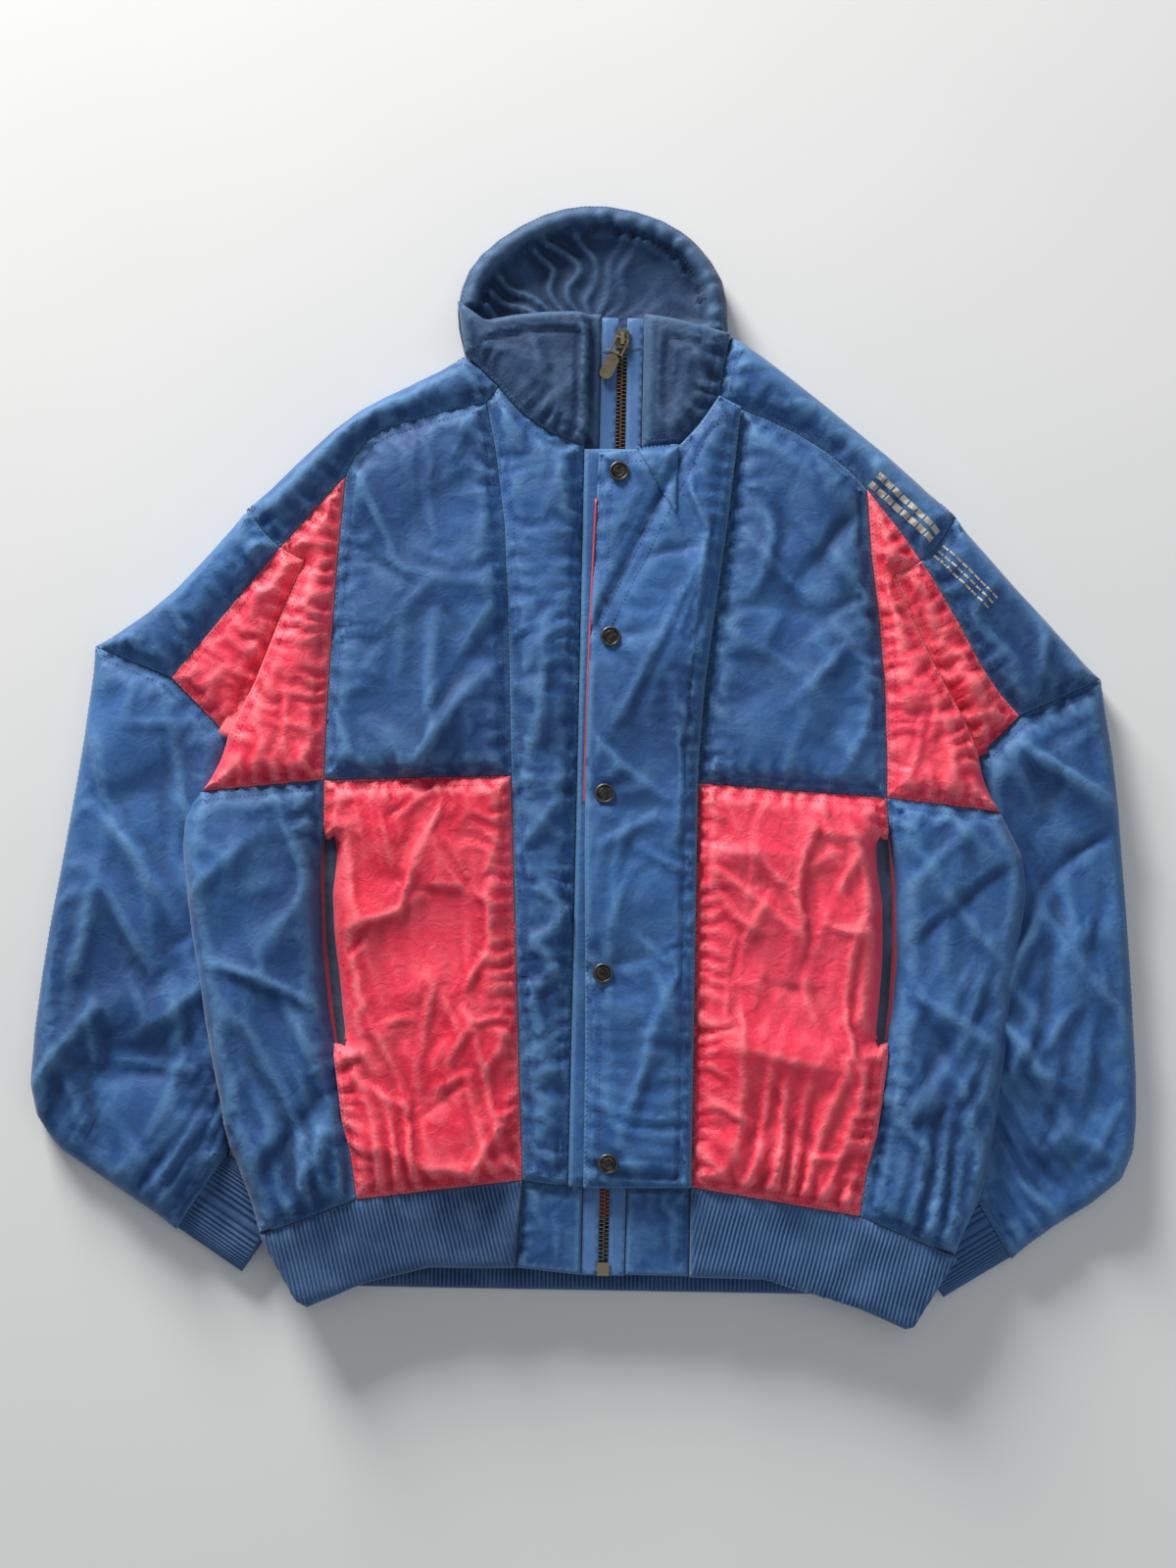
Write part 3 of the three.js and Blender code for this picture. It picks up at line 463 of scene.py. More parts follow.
def addNode(tree, kind, settings=None, **inputs):
    node = tree.nodes.new(kind)
    for key, value in (settings or {}).items():
        setattr(node, key, value)
    for key, value in inputs.items():
        feed(tree, node.inputs[key], value)
    return node


def linear(colour):
    return tuple((c / 255 / 12.92) if c <= 10 else ((c / 255 + 0.055) / 1.055) ** 2.4
                 for c in colour) + (1.0,)


def blendColours(tree, share, first, second):
    mix = addNode(tree, "ShaderNodeMix", {"data_type": "RGBA"})
    for number, value in ((0, share), (6, first), (7, second)):
        feed(tree, mix.inputs[number], value)
    return mix.outputs[2]  # the colour sockets


def spread(tree, value, low, high, toLow=0.0, toHigh=1.0):
    node = addNode(tree, "ShaderNodeMapRange")
    for i, given in enumerate((value, low, high, toLow, toHigh)):
        feed(tree, node.inputs[i], given)
    return node.outputs[0]


def makeCloth(name, look):
    finish, tree, shader = newFinish(name)
    place = addNode(tree, "ShaderNodeTexCoord").outputs["Object"]
    broad = addNode(tree, "ShaderNodeTexNoise", Vector=place, Scale=7.0, Detail=3.0)
    patchy = addNode(tree, "ShaderNodeTexNoise", Vector=place, Scale=38.0, Detail=4.0,
                     Roughness=0.6)
    fine = addNode(tree, "ShaderNodeTexNoise", Vector=place, Scale=420.0, Detail=2.0)
    main = blendColours(tree, spread(tree, broad.outputs[0], 0.38, 0.64),
                        linear(look["deep"]), linear(look["colour"]))
    main = blendColours(tree, spread(tree, patchy.outputs[0], 0.46, 0.72, 0.0, look["fade"]),
                        main, linear(look["worn"]))
    crest = addNode(tree, "ShaderNodeNewGeometry").outputs["Pointiness"]
    main = blendColours(tree, spread(tree, crest, 0.503, 0.54, 0.0, look["edgeWear"]),
                        main, linear(look["worn"]))
    # painted shade: the cloth is darkened towards a darker copy of its deep colour in creases and
    # hollows, where pointiness is low
    main = blendColours(tree, spread(tree, crest, 0.498, 0.462, 0.0, 0.62),
                        main, linear([c * 0.62 for c in look["deep"]]))
    main = blendColours(tree, spread(tree, fine.outputs[0], 0.35, 0.75, 0.0, 0.16),
                        main, linear(look["deep"]))
    tree.links.new(main, shader.inputs["Base Color"])
    rough = spread(tree, patchy.outputs[0], 0.3, 0.7, look["rough"] - 0.06, look["rough"] + 0.07)
    tree.links.new(rough, shader.inputs["Roughness"])
    shader.inputs["Sheen Weight"].default_value = look["sheen"]
    shader.inputs["Sheen Roughness"].default_value = 0.4
    shader.inputs["Specular IOR Level"].default_value = look["specular"]
    turned = addNode(tree, "ShaderNodeMapping", Vector=place, Rotation=(0, 0, look["bias"]))
    threads = []
    for direction in ("X", "Y"):
        threads.append(addNode(tree, "ShaderNodeTexWave", {"bands_direction": direction},
                               Vector=turned.outputs[0], Scale=look["threads"]).outputs[1])
    weave = addNode(tree, "ShaderNodeMath", {"operation": "MULTIPLY"})
    tree.links.new(threads[0], weave.inputs[0])
    tree.links.new(threads[1], weave.inputs[1])
    crush = addNode(tree, "ShaderNodeTexNoise", Vector=place, Scale=look["crushScale"],
                    Detail=5.0, Roughness=0.62, Distortion=1.1)
    first = addNode(tree, "ShaderNodeBump", Strength=look["crush"], Distance=0.0016,
                    Height=crush.outputs[0])
    second = addNode(tree, "ShaderNodeBump", Strength=look["weave"], Distance=0.0003,
                     Height=weave.outputs[0], Normal=first.outputs[0])
    tree.links.new(second.outputs[0], shader.inputs["Normal"])
    return finish


def makeMetal(name, look):
    finish, tree, shader = newFinish(name)
    place = addNode(tree, "ShaderNodeTexCoord").outputs["Object"]
    tarnish = addNode(tree, "ShaderNodeTexNoise", Vector=place, Scale=310.0, Detail=5.0)
    scuffs = addNode(tree, "ShaderNodeTexNoise", Vector=place, Scale=1500.0, Detail=2.0)
    main = blendColours(tree, spread(tree, tarnish.outputs[0], 0.4, 0.66),
                        linear(look["deep"]), linear(look["colour"]))
    crest = addNode(tree, "ShaderNodeNewGeometry").outputs["Pointiness"]
    main = blendColours(tree, spread(tree, crest, 0.52, 0.62), main, linear(look["worn"]))
    tree.links.new(main, shader.inputs["Base Color"])
    shader.inputs["Metallic"].default_value = 0.9
    tree.links.new(spread(tree, tarnish.outputs[0], 0.3, 0.7, look["rough"] - 0.08,
                          look["rough"] + 0.12), shader.inputs["Roughness"])
    bump = addNode(tree, "ShaderNodeBump", Strength=0.22, Distance=0.0002,
                   Height=scuffs.outputs[0])
    tree.links.new(bump.outputs[0], shader.inputs["Normal"])
    return finish


plainCloth = {"fade": 0.4, "edgeWear": 0.2, "rough": 0.6, "sheen": 0.2, "specular": 0.4,
              "threads": 520, "weave": 0.2, "bias": 0.0, "crush": 0.3, "crushScale": 80}
spun = {"sheen": 0.3, "threads": 1500, "weave": 0.3, "bias": 0.8, "crush": 0.1,
        "crushScale": 300}
clothLooks = {
    "blueNylon": {"colour": (48, 96, 156), "deep": (29, 67, 119), "worn": (96, 143, 184),
                  "fade": 0.34, "edgeWear": 0.55, "rough": 0.62, "sheen": 0.16,
                  "specular": 0.30, "crush": 0.62, "crushScale": 70},
    "redNylon": {"colour": (255, 64, 94), "deep": (236, 42, 72), "worn": (255, 132, 140),
                 "fade": 0.30, "edgeWear": 0.6, "rough": 0.46, "sheen": 0.12, "specular": 0.42,
                 "threads": 560, "weave": 0.14, "crush": 0.8, "crushScale": 85},
    "collarNylon": {"colour": (38, 72, 114), "deep": (26, 54, 92), "worn": (84, 116, 148),
                    "fade": 0.46, "edgeWear": 0.55, "rough": 0.64, "sheen": 0.16,
                    "specular": 0.28, "crush": 0.62, "crushScale": 70},
    "ribYarn": {"colour": (60, 98, 146), "deep": (36, 66, 108), "worn": (96, 130, 172),
                "fade": 0.5, "edgeWear": 0.45, "rough": 0.86, "sheen": 0.35, "specular": 0.22,
                "threads": 900, "weave": 0.35, "bias": 0.6, "crush": 0.22, "crushScale": 260},
    "liningTaffeta": {"colour": (196, 56, 78), "deep": (160, 36, 58), "worn": (222, 110, 124),
                      "fade": 0.3, "rough": 0.46, "sheen": 0.1, "specular": 0.45,
                      "threads": 620, "weave": 0.1, "crushScale": 90},
    "pocketCotton": {"colour": (70, 84, 108), "deep": (50, 62, 84), "worn": (104, 118, 140),
                     "rough": 0.8, "specular": 0.25, "threads": 480, "weave": 0.3,
                     "crush": 0.2},
    "zipTape": {"colour": (74, 122, 182), "deep": (48, 88, 142), "worn": (116, 158, 206),
                "edgeWear": 0.3, "rough": 0.7, "specular": 0.3, "threads": 420, "weave": 0.6,
                "bias": 0.78, "crush": 0.1, "crushScale": 200},
    "blueThread": {"colour": (36, 62, 102), "deep": (24, 44, 78), "worn": (70, 100, 144),
                   **spun},
    "redThread": {"colour": (150, 26, 46), "deep": (116, 16, 34), "worn": (206, 80, 92),
                  "rough": 0.55, **spun},
    "creamPrint": {"colour": (214, 206, 186), "deep": (186, 178, 158), "worn": (120, 130, 150),
                   "sheen": 0.05, "specular": 0.35, "crushScale": 240},
}
metalLooks = {
    "zipBrass": {"colour": (84, 76, 62), "deep": (46, 42, 36), "worn": (140, 128, 104),
                 "rough": 0.42},
    "gunmetal": {"colour": (74, 72, 68), "deep": (38, 37, 36), "worn": (146, 142, 134),
                 "rough": 0.36},
}
finishes = {name: makeCloth(name, {**plainCloth, **look}) for name, look in clothLooks.items()}
finishes.update({name: makeMetal(name, look) for name, look in metalLooks.items()})
print("jacket:", len(finishes), "finishes mixed")


# turning points and faces into pieces

def makeObject(name, points, faces, finish, smooth=True):
    mesh = bpy.data.meshes.new(name)
    mesh.from_pydata((np.asarray(points) * metre).tolist(), [], [list(f) for f in faces])
    mesh.validate()
    mesh.update()
    if smooth:
        mesh.shade_smooth()
    mesh.materials.append(finishes[finish])
    piece = bpy.data.objects.new(name, mesh)
    bpy.context.scene.collection.objects.link(piece)
    return piece


def jointNamed(name):
    return next(j for j in frame["joints"] if j["name"] == name)


def placeSleeve(side):
    pivot = np.array(jointNamed(side + "_sleeve_swing")["pos_m"][:2]) / metre
    low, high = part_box(side + "_sleeve_strip")
    outer = low.x if side == "right" else high.x
    elbow = np.array([outer, low.y]) / metre
    way = (elbow - pivot) / np.linalg.norm(elbow - pivot)
    return pivot, way


sleeves = {side: placeSleeve(side) for side in ("right", "left")}


def carry(piece, body):
    # a body's name, to which the piece is attached; for a sleeve side or the flap's fold the
    # piece only has its placement baked in
    if body in sleeves:
        pivot, way = sleeves[body]
        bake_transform(piece)
    elif body == "flapFold":
        x, y, z = jointNamed("storm_flap_hinge")["pos_m"]
        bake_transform(piece)
    else:
        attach(piece, body)
    return piece


def openCloth(piece):
    mesh = bpy.data.meshes.new(piece["name"] + "_blank")
    mesh.from_pydata((piece["top"] * metre).tolist(), [], piece["cut"]["faces"].tolist())
    blank = bpy.data.objects.new(piece["name"] + "_blank", mesh)
    bpy.context.scene.collection.objects.link(blank)
    held = blank.vertex_groups.new(name="sewn")
    gap, free = piece["cut"]["gap"], piece["cut"]["free"]
    edge = gap <= 0.05
    near = ~edge & ((gap <= 2.2) | ((gap <= 9) & (free > 0.5)))
    for chosen, weight in ((edge, 1.0), (near, 0.8)):
        held.add([int(i) for i in np.nonzero(chosen)[0]], weight, "REPLACE")
    return blank


clothRun = {"frames": 20, "quality": 5, "mass": 0.12, "tension": 18.0}


def crumple(pieces):
    # every panel is a little fuller than its seams, so it buckles between them
    blanks = []
    for piece in pieces:
        blank = openCloth(piece)
        cloth = blank.modifiers.new("cloth", "CLOTH")
        cloth.settings.quality = clothRun["quality"]
        cloth.settings.mass = clothRun["mass"]
        cloth.settings.tension_stiffness = clothRun["tension"]
        cloth.settings.compression_stiffness = clothRun["tension"]
        cloth.settings.bending_stiffness = piece["look"]["bending"]
        cloth.settings.use_pressure = True
        cloth.settings.uniform_pressure_force = piece["look"]["pressure"]
        cloth.settings.shrink_min = -piece["look"]["fullness"]
        cloth.settings.vertex_group_mass = "sewn"
        cloth.settings.effector_weights.gravity = 0
        cloth.collision_settings.use_collision = False
        cloth.point_cache.frame_start = 1
        cloth.point_cache.frame_end = clothRun["frames"]
        blanks.append(blank)
    for number in range(1, clothRun["frames"] + 1):
        bpy.context.scene.frame_set(number)
    depsgraph = bpy.context.evaluated_depsgraph_get()
    for piece, blank in zip(pieces, blanks):
        shaped = blank.evaluated_get(depsgraph).data
        now = np.zeros(len(shaped.vertices) * 3)
        shaped.vertices.foreach_get("co", now)
        moved = now.reshape(-1, 3) / metre - piece["top"]
        moved[~np.isfinite(moved)] = 0
        far = np.linalg.norm(moved, axis=1)
        limit = piece["look"]["most"]
        ease = np.where(far > 1e-6, limit * np.tanh(far / limit) / np.maximum(far, 1e-6), 1)
        calm = 1 - piece["cut"]["free"] * (1 - np.clip((piece["cut"]["gap"] - 4) / 14, 0, 1))
        step = moved * (ease * calm)[:, None]
        step[:, 2] = np.where(step[:, 2] < 0, step[:, 2] * 0.75, step[:, 2])
        piece["top"] = piece["top"] + step
    for blank in blanks:
        mesh = blank.data
        bpy.data.objects.remove(blank)
        bpy.data.meshes.remove(mesh)
    bpy.context.scene.frame_set(1)


stitchSize = {"length": 2.3, "width": 0.62, "height": 0.42, "pitch": 3.3}


def stitchesOn(cut, top, offset):
    # one row of stitches, that far in from the sewn edges
    tree = treeOf(top, cut["faces"])
    starts, ends, free = cut["starts"], cut["ends"], cut["freeEdge"]
    along = ends - starts
    lengths = np.linalg.norm(along, axis=1)
    along = along / lengths[:, None]
    inward = np.stack([-along[:, 1], along[:, 0]], 1)
    spots, ways, carried = [], [], 0.0
    for i, length in enumerate(lengths):
        at = carried
        while at < length:
            spots.append(starts[i] + along[i] * at + inward[i] * offset)
            ways.append((*along[i], free[i]))
            at += stitchSize["pitch"]
        carried = at - length
    spots, ways = np.array(spots), np.array(ways)
    gap = nearestOn(spots, starts, ends)[0]
    keep = (gap > 0.88 * offset) & (ways[:, 2] < 0.55)
    points, faces = [], []
    size = stitchSize
    for (x, y), (ux, uy, _) in zip(spots[keep], ways[keep]):
        hit = meet(tree, x, y)
        if hit[0] is None:
            continue
        up = hit[1] if hit[1].z > 0 else -hit[1]
        way = Vector((ux, uy, 0))
        way = (way - up * way.dot(up)).normalized()
        across = up.cross(way)
        first = len(points)
        middle = hit[0] + up * 0.12
        half = way * size["length"] / 2
        for corner in (half, across * size["width"] / 2, -half, -across * size["width"] / 2,
                       up * size["height"], -up * size["height"]):
            points.append(tuple(middle + corner))
        for i in range(4):
            j = (i + 1) % 4
            faces += [(first + i, first + j, first + 4), (first + j, first + i, first + 5)]
    return points, faces


def sew(name, rows, thread, body):
    points, faces = [], []
    for rowPoints, rowFaces in rows:
        faces += [tuple(i + len(points) for i in f) for f in rowFaces]
        points += rowPoints
    if not points:
        return None
    piece = makeObject(name, points, faces, thread)
    return carry(piece, body)


# the padded panels of the front

plain = {"seamDepth": 5.0, "seamRun": 9.0, "seamNick": 2.2, "bandWide": 8.6, "gathers": (),
         "bandAt": 0, "puckerPitch": 2.0, "bending": 0.9, "edgeRound": 17, "edgeLow": 9.0,
         "crown": 1.6, "pucker": 1.7, "swell": 2.2, "seed": 21, "stitchAt": (1.9, 7.0),
         "lowFloor": 6.0, "pressure": 1.0, "fullness": 0.022, "most": 2.0, "creases": []}


drag = [(1.7, 58, 15, (90, 190), (8, 14), (3.4, 6.6)),
        (1.8, 122, 16, (70, 150), (6, 11), (2.8, 5.4)),
        (6.5, 84, 40, (28, 80), (3.2, 6), (1.1, 2.9)),
        (0.8, 8, 16, (50, 120), (8, 13), (2.0, 4.2))]
crinkle = [(1.2, 2, 14, (60, 110), (10, 17), (4.4, 7.4)),
           (1.8, 78, 18, (60, 130), (6, 10), (3.0, 5.6)),
           (12.0, 86, 14, (22, 60), (2.6, 4.4), (0.9, 2.2)),
           (5.0, 30, 34, (22, 50), (3.4, 5.6), (1.2, 2.8))]
sleeveDrag = {"right": [(2.0, 60, 15, (90, 200), (10, 17), (5.0, 9.0)),
                        (2.0, 112, 16, (70, 140), (7, 12), (3.6, 6.8)),
                        (6.0, 84, 40, (28, 80), (3.4, 6.2), (1.3, 3.2))]}
sleeveDrag["left"] = [(many, 180 - angle, *rest) for many, angle, *rest in sleeveDrag["right"]]

blue = {"finish": "blueNylon", "slot": "blue_shell", "thread": "blueThread"}
red = {"finish": "redNylon", "slot": "red_panel", "thread": "redThread"}
usualCut = {"spacing": 4.2, "rings": (0.9, 2.0, 3.8, 6.0, 8.4, 11.2)}
panels = []


def addPanel(name, nodes, body, cloth, cutting=None, worked=True, **changes):
    # cutting is how finely the pattern is cut, changes is how it differs from a plain panel
    own = {**plain, **changes}
    cut = layOut(nodes, **{**usualCut, **(cutting or {})})
    top = shapeTop(cut, nodes, own)
    panels.append({"name": name, "nodes": nodes, "body": body, **cloth, "look": own,
                   "cut": cut, "worked": worked, "top": np.column_stack([cut["flat"], top])})


def panelNamed(name):
    return next(p for p in panels if p["name"] == name)


for side, turn in (("right", 1), ("left", -1)):
    own = 40 if side == "right" else 400  # the seeds differ from side to side

    def lean(sets):
        return [(many, turn * angle, *rest) for many, angle, *rest in sets]

    addPanel(side + "_chest", [side + "_chest_panel"], "body", blue, creases=lean(drag),
             seed=own + 1)
    addPanel(side + "_pocket_front", [side + "_lower_panel"], "body", red, {"spacing": 3.1},
             creases=lean(crinkle), seed=own + 2, fullness=0.04, pucker=1.3, most=2.6,
             bending=0.10, gathers=[("hem_rib_" + side, 5.4, 15, 58)])
    addPanel(side + "_underarm_side", [side + "_upper_side"], "body", red, {"spacing": 3.2},
             creases=lean(crinkle), seed=own + 3, fullness=0.035, most=2.4, bending=0.10)
    addPanel(side + "_waist_side", [side + "_lower_side"], "body", blue,
             creases=lean(drag + [(1.2, 86, 10, (110, 200), (9, 15), (3.0, 5.6))]),
             seed=own + 4, gathers=[("hem_rib_" + side, 6.4, 14, 74)])
    addPanel(side + "_yoke", [side + "_shoulder"], "body", blue, creases=lean(drag),
             seed=own + 5, edgeRound=15)
    addPanel(side + "_upper_sleeve", [side + "_sleeve_strip"], side, blue,
             creases=sleeveDrag[side], seed=own + 6, edgeRound=12, edgeLow=7.5,
             seamDepth=3.5, seamNick=1.6)
    addPanel(side + "_gusset", [side + "_sleeve_gusset"], side, red, {"spacing": 3.4},
             creases=lean(crinkle), seed=own + 7, edgeRound=6, edgeLow=17, fullness=0.035,
             most=2.2, seamDepth=3.0, seamNick=1.4, bending=0.10, lowFloor=17)
    addPanel(side + "_lower_sleeve", [side + "_forearm"], side, blue, {"spacing": 4.4},
             creases=sleeveDrag[side], seed=own + 8, edgeRound=15, edgeLow=7.5, crown=2.6,
             swell=3.2, most=2.6, seamDepth=4.0, seamNick=1.5,
             gathers=[(side + "_cuff", 5.6, 11, 56)])

addPanel("right_front", ["right_centre_front"], "body", blue, {"topOnly": True}, creases=drag,
         seed=33, edgeRound=4, edgeLow=36, gathers=[("hem_tab_right", 4.2, 14, 60)])
addPanel("left_front", ["left_centre_front"], "body", {**blue, "thread": None},
         {"spacing": 8, "rings": (1.5, 4.0)}, worked=False, seed=34, edgeRound=4, edgeLow=31,
         seamDepth=2.0, pucker=0.3, swell=0.3)
addPanel("zip_fly_strip", ["zip_fly"], "body", blue, {"spacing": 5, "rings": (0.8, 2.0, 4.0)},
         worked=False, seed=35, edgeRound=1.6, edgeLow=38.6, seamDepth=0.7, crown=0.2,
         swell=0.2, pucker=0.35, lowFloor=37.5)
addPanel("storm_flap_cloth", ["storm_flap", "storm_flap_root"], "flapFold", blue,
         {"spacing": 3.8}, creases=[(1.8, 66, 14, (80, 170), (8, 13), (3.0, 5.6)),
                                    (1.6, 108, 16, (60, 130), (6, 10), (2.4, 4.6)),
                                    (6.0, 80, 40, (28, 70), (3.2, 5.5), (1.0, 2.5))],
         seed=36, edgeRound=3.2, edgeLow=45.4, seamDepth=3.4, crown=0.8, pucker=0.7, most=1.8,
         lowFloor=37.5, bandWide=11.5, gathers=[("hem_tab_left", 2.8, 13, 55)],
         stitchAt=(2.2, 10.5))
for side in ("right", "left"):
    addPanel("collar_front_" + side, ["collar_" + side], "body",
             {**blue, "finish": "collarNylon"}, {"spacing": 3.4},
             creases=[(6, 70, 34, (28, 70), (4, 8), (1.4, 3.2))], seed=37, edgeRound=6,
             edgeLow=31.5, seamDepth=3.0, bandAt=17.0, stitchAt=(2.2, 7.5))
    addPanel("tab_" + side, ["hem_tab_" + side], "body", blue,
             {"spacing": 2.8, "rings": (0.8, 1.8, 3.2)},
             creases=[(9, 90, 20, (20, 45), (4, 7), (0.8, 1.5))], seed=38, edgeRound=2.6,
             edgeLow=29.6, seamDepth=2.0, pucker=0.5, swell=0.4, crown=0.4, most=1.0,
             stitchAt=(1.6, 4.6))

# the pocket mouths: the red edge stands up and its neighbour dips under it
pocket = {"lift": 2.0, "dip": 5.0, "reach": 7.0, "start": 0.10, "end": 0.80,
          "over": 3.2, "tuck": 1.6}
for side, outward in (("right", -1), ("left", 1)):
    low, high = boxOf(side + "_lower_panel")
    red = outlineOf(side + "_lower_panel")
    starts, ends = red, np.roll(red, -1, axis=0)
    middle = (starts + ends) / 2
    outer = outward * (middle[:, 0] - (low[0] + high[0]) / 2) > 0.28 * (high[0] - low[0])
    for name, change in ((side + "_pocket_front", pocket["lift"]),
                         (side + "_waist_side", -pocket["dip"])):
        piece = panelNamed(name)
        flat = piece["cut"]["flat"]
        gap = nearestOn(flat, starts[outer], ends[outer])[0]
        share = (flat[:, 1] - low[1]) / (high[1] - low[1])
        window = np.clip((share - pocket["start"]) * 12, 0, 1) \
            * np.clip((pocket["end"] - share) * 12, 0, 1)
        piece["top"][:, 2] += change * np.exp(-(gap / pocket["reach"]) ** 2) * window
        over = pocket["over"] if change > 0 else -pocket["tuck"]
        piece["top"][:, 0] += outward * over * np.exp(-(gap / 4) ** 2) * window

# the flap is pressed in round each snap
press = {"deep": 1.3, "reach": 13, "ray": 0.7, "rays": 5, "rayAt": 17, "rayWide": 9,
         "under": 48.7, "capReach": 10}
snaps = range(1, 6)
capCentres = [sum(boxOf(f"snap_cap_{number}")) / 2 for number in snaps]
flapCloth = panelNamed("storm_flap_cloth")
for centre in capCentres:
    spokes = flapCloth["cut"]["flat"] - centre[:2]
    away = np.linalg.norm(spokes, axis=1)
    flapCloth["top"][:, 2] -= press["deep"] * np.exp(-(away / press["reach"]) ** 2)
    rays = np.sin(np.arctan2(*spokes.T) * press["rays"] + centre[1])
    flapCloth["top"][:, 2] += press["ray"] * rays \
        * np.exp(-((away - press["rayAt"]) / press["rayWide"]) ** 2)
print("jacket:", len(panels), "front panels cut")

crumple([p for p in panels if p["worked"]])
print("jacket: front panels crumpled")
# cloth pressed by the caps stays under them
for centre in capCentres:
    away = np.linalg.norm(flapCloth["top"][:, :2] - centre[:2], axis=1)
    near = away < press["capReach"]
    flapCloth["top"][near, 2] = np.minimum(flapCloth["top"][near, 2], press["under"])

for piece in panels:
    under = np.column_stack([piece["top"][:, :2], shapeLow(piece)])
    points, faces = closeShell(piece["cut"], piece["top"], under)
    shell = makeObject(piece["name"], points, faces, piece["finish"])
    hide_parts(*piece["nodes"])
    piece["slot"]
    carry(shell, piece["body"])
    piece["worked"]
    if piece["thread"]:
        rows = [stitchesOn(piece["cut"], piece["top"], offset)
                for offset in piece["look"]["stitchAt"]]
        sew(piece["name"] + "_stitching", rows, piece["thread"], piece["body"])
print("jacket: front panels made up and stitched")


# plain inner and rear cloth

layer = {"round": 6, "relief": 0.18, "fall": 0.35, "rise": 0.3}


def clothLayer(name, node, body, finish):
    cut = layOut([node], 9.0, (1.5, 4.0))
    flat, gap = cut["flat"], cut["gap"]
    x, y = flat[:, 0], flat[:, 1]
    low, high = (c.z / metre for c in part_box(node))
    top = fillMissing(flat, cadHeight(node, flat))
    under = fillMissing(flat, cadHeight(node, flat, fromAbove=False))
    around = np.clip(gap / layer["round"], 0, 1)
    room = high - low
    share = 1 - np.sqrt(1 - (1 - around) ** 2)
    relief = layer["relief"] * room * (grain(x / 30, y / 30, 5) - 0.5) * around
    top = top + relief - share * room * layer["fall"]
    under = under + share * room * layer["rise"]
    points, faces = closeShell(cut, np.column_stack([flat, top]),
                               np.column_stack([flat, under]))
    piece = makeObject(name, points, faces, finish)
    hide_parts(node)
    carry(piece, body)
    return piece


clothLayer("back_panel", "back_shell", "body", "blueNylon")
for name, node in (("back_lining_cloth", "back_lining"),
                   ("right_lining_cloth", "right_front_lining"),
                   ("left_lining_cloth", "left_front_lining")):
    lining = clothLayer(name, node, "body", "liningTaffeta")
    area = abs(loopArea(outlineOf(node))) * metre * metre
    low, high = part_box(node)
for side in ("right", "left"):
    clothLayer(side + "_pocket_pouch", side + "_pocket_bag", "body", "pocketCotton")
    clothLayer(side + "_sleeve_rear", side + "_sleeve_back", side, "blueNylon")
print("jacket: back, linings and pockets laid")


# ribbed knit: fronts, back and cuffs

knit = {"pitch": 3.1, "depth": 1.15, "steps": 5, "rows": 13, "fall": 0.8, "hem": 0.42,
        "hemShare": 0.16, "seam": 0.22, "seamShare": 0.14, "uneven": 2.6, "sewnWithin": 12}


def cutAcross(outline, level):
    # where a line of constant first coordinate crosses the outline
    return [a[1] + (b[1] - a[1]) * (level - a[0]) / (b[0] - a[0])
            for a, b in zip(outline, np.roll(outline, -1, axis=0))
            if (a[0] > level) != (b[0] > level)]


def knitBand(name, node, thick=1.0):
    loop = outlineOf(node)
    way = np.linalg.svd(loop - loop.mean(0), full_matrices=False)[2][0]
    way = way if way[0] > 0 else -way
    across = np.array([-way[1], way[0]])
    u, v = loop @ way, loop @ across
    rolled = np.column_stack([u, v])
    columns = np.arange(u.min() + 0.25, u.max() - 0.25, knit["pitch"] / knit["steps"])
    shares = (1 - np.cos(np.linspace(0, math.pi, knit["rows"]))) / 2
    flat, phase, share = [], [], []
    for column in columns:
        cuts = cutAcross(rolled, column)
        bottom, top = min(cuts), max(cuts)
        for t in shares:
            flat.append(way * column + across * (bottom + (top - bottom) * t))
            phase.append(column)
            share.append(t)
    flat, phase, share = np.array(flat), np.array(phase), np.array(share)
    roof = fillMissing(flat, cadHeight(node, flat))
    floor = fillMissing(flat, cadHeight(node, flat, fromAbove=False))
    others = np.vstack([outlineOf(n) for n in frontNodes if n != node])
    othersEnd = np.vstack([np.roll(outlineOf(n), -1, axis=0) for n in frontNodes if n != node])
    inner = np.array([columns[0], columns[-1]])
    sewn = [nearestOn(np.array([way * c + across * (rolled[:, 1].mean())]), others,
                      othersEnd)[0][0] < knit["sewnWithin"] for c in inner]
    rounding = min(14.0, (roof.max() - floor.min()) * 0.75)
    openLeft = np.clip((phase - columns[0]) / rounding, 0, 1)
    openRight = np.clip((columns[-1] - phase) / rounding, 0, 1)
    fall = np.zeros(len(flat))
    for reach, isSewn in ((openLeft, sewn[0]), (openRight, sewn[1])):
        if not isSewn:
            fall = np.maximum(fall, 1 - np.sqrt(1 - (1 - reach) ** 2))
    hem = 1 - np.sqrt(1 - (1 - np.clip(share / knit["hemShare"], 0, 1)) ** 2)
    seam = np.clip((share - 0.86) / knit["seamShare"], 0, 1) ** 2
    height = roof - floor
    stretch = grain(flat[:, 0] / 26, flat[:, 1] / 26, 9)
    ridge = np.abs(np.sin(math.pi * phase / knit["pitch"]
                          + 0.8 * grain(flat[:, 0] / 40, flat[:, 1] / 18, 12)))
    roofZ = roof - height * (knit["fall"] * fall + knit["hem"] * hem * (1 - fall)
                             + knit["seam"] * seam * (1 - fall))
    roofZ = roofZ + knit["depth"] * (ridge - 0.5) * (1 - 0.7 * fall) \
        + knit["uneven"] * stretch * thick
    floorZ = floor + height * 0.12 * hem
    roofZ = np.maximum(roofZ, floorZ + 0.8)
    points = np.vstack([np.column_stack([flat, roofZ]), np.column_stack([flat, floorZ])])
    faces = closeGrid(np.arange(len(flat)).reshape(len(columns), len(shares)))
    return makeObject(name, points, faces, "ribYarn")


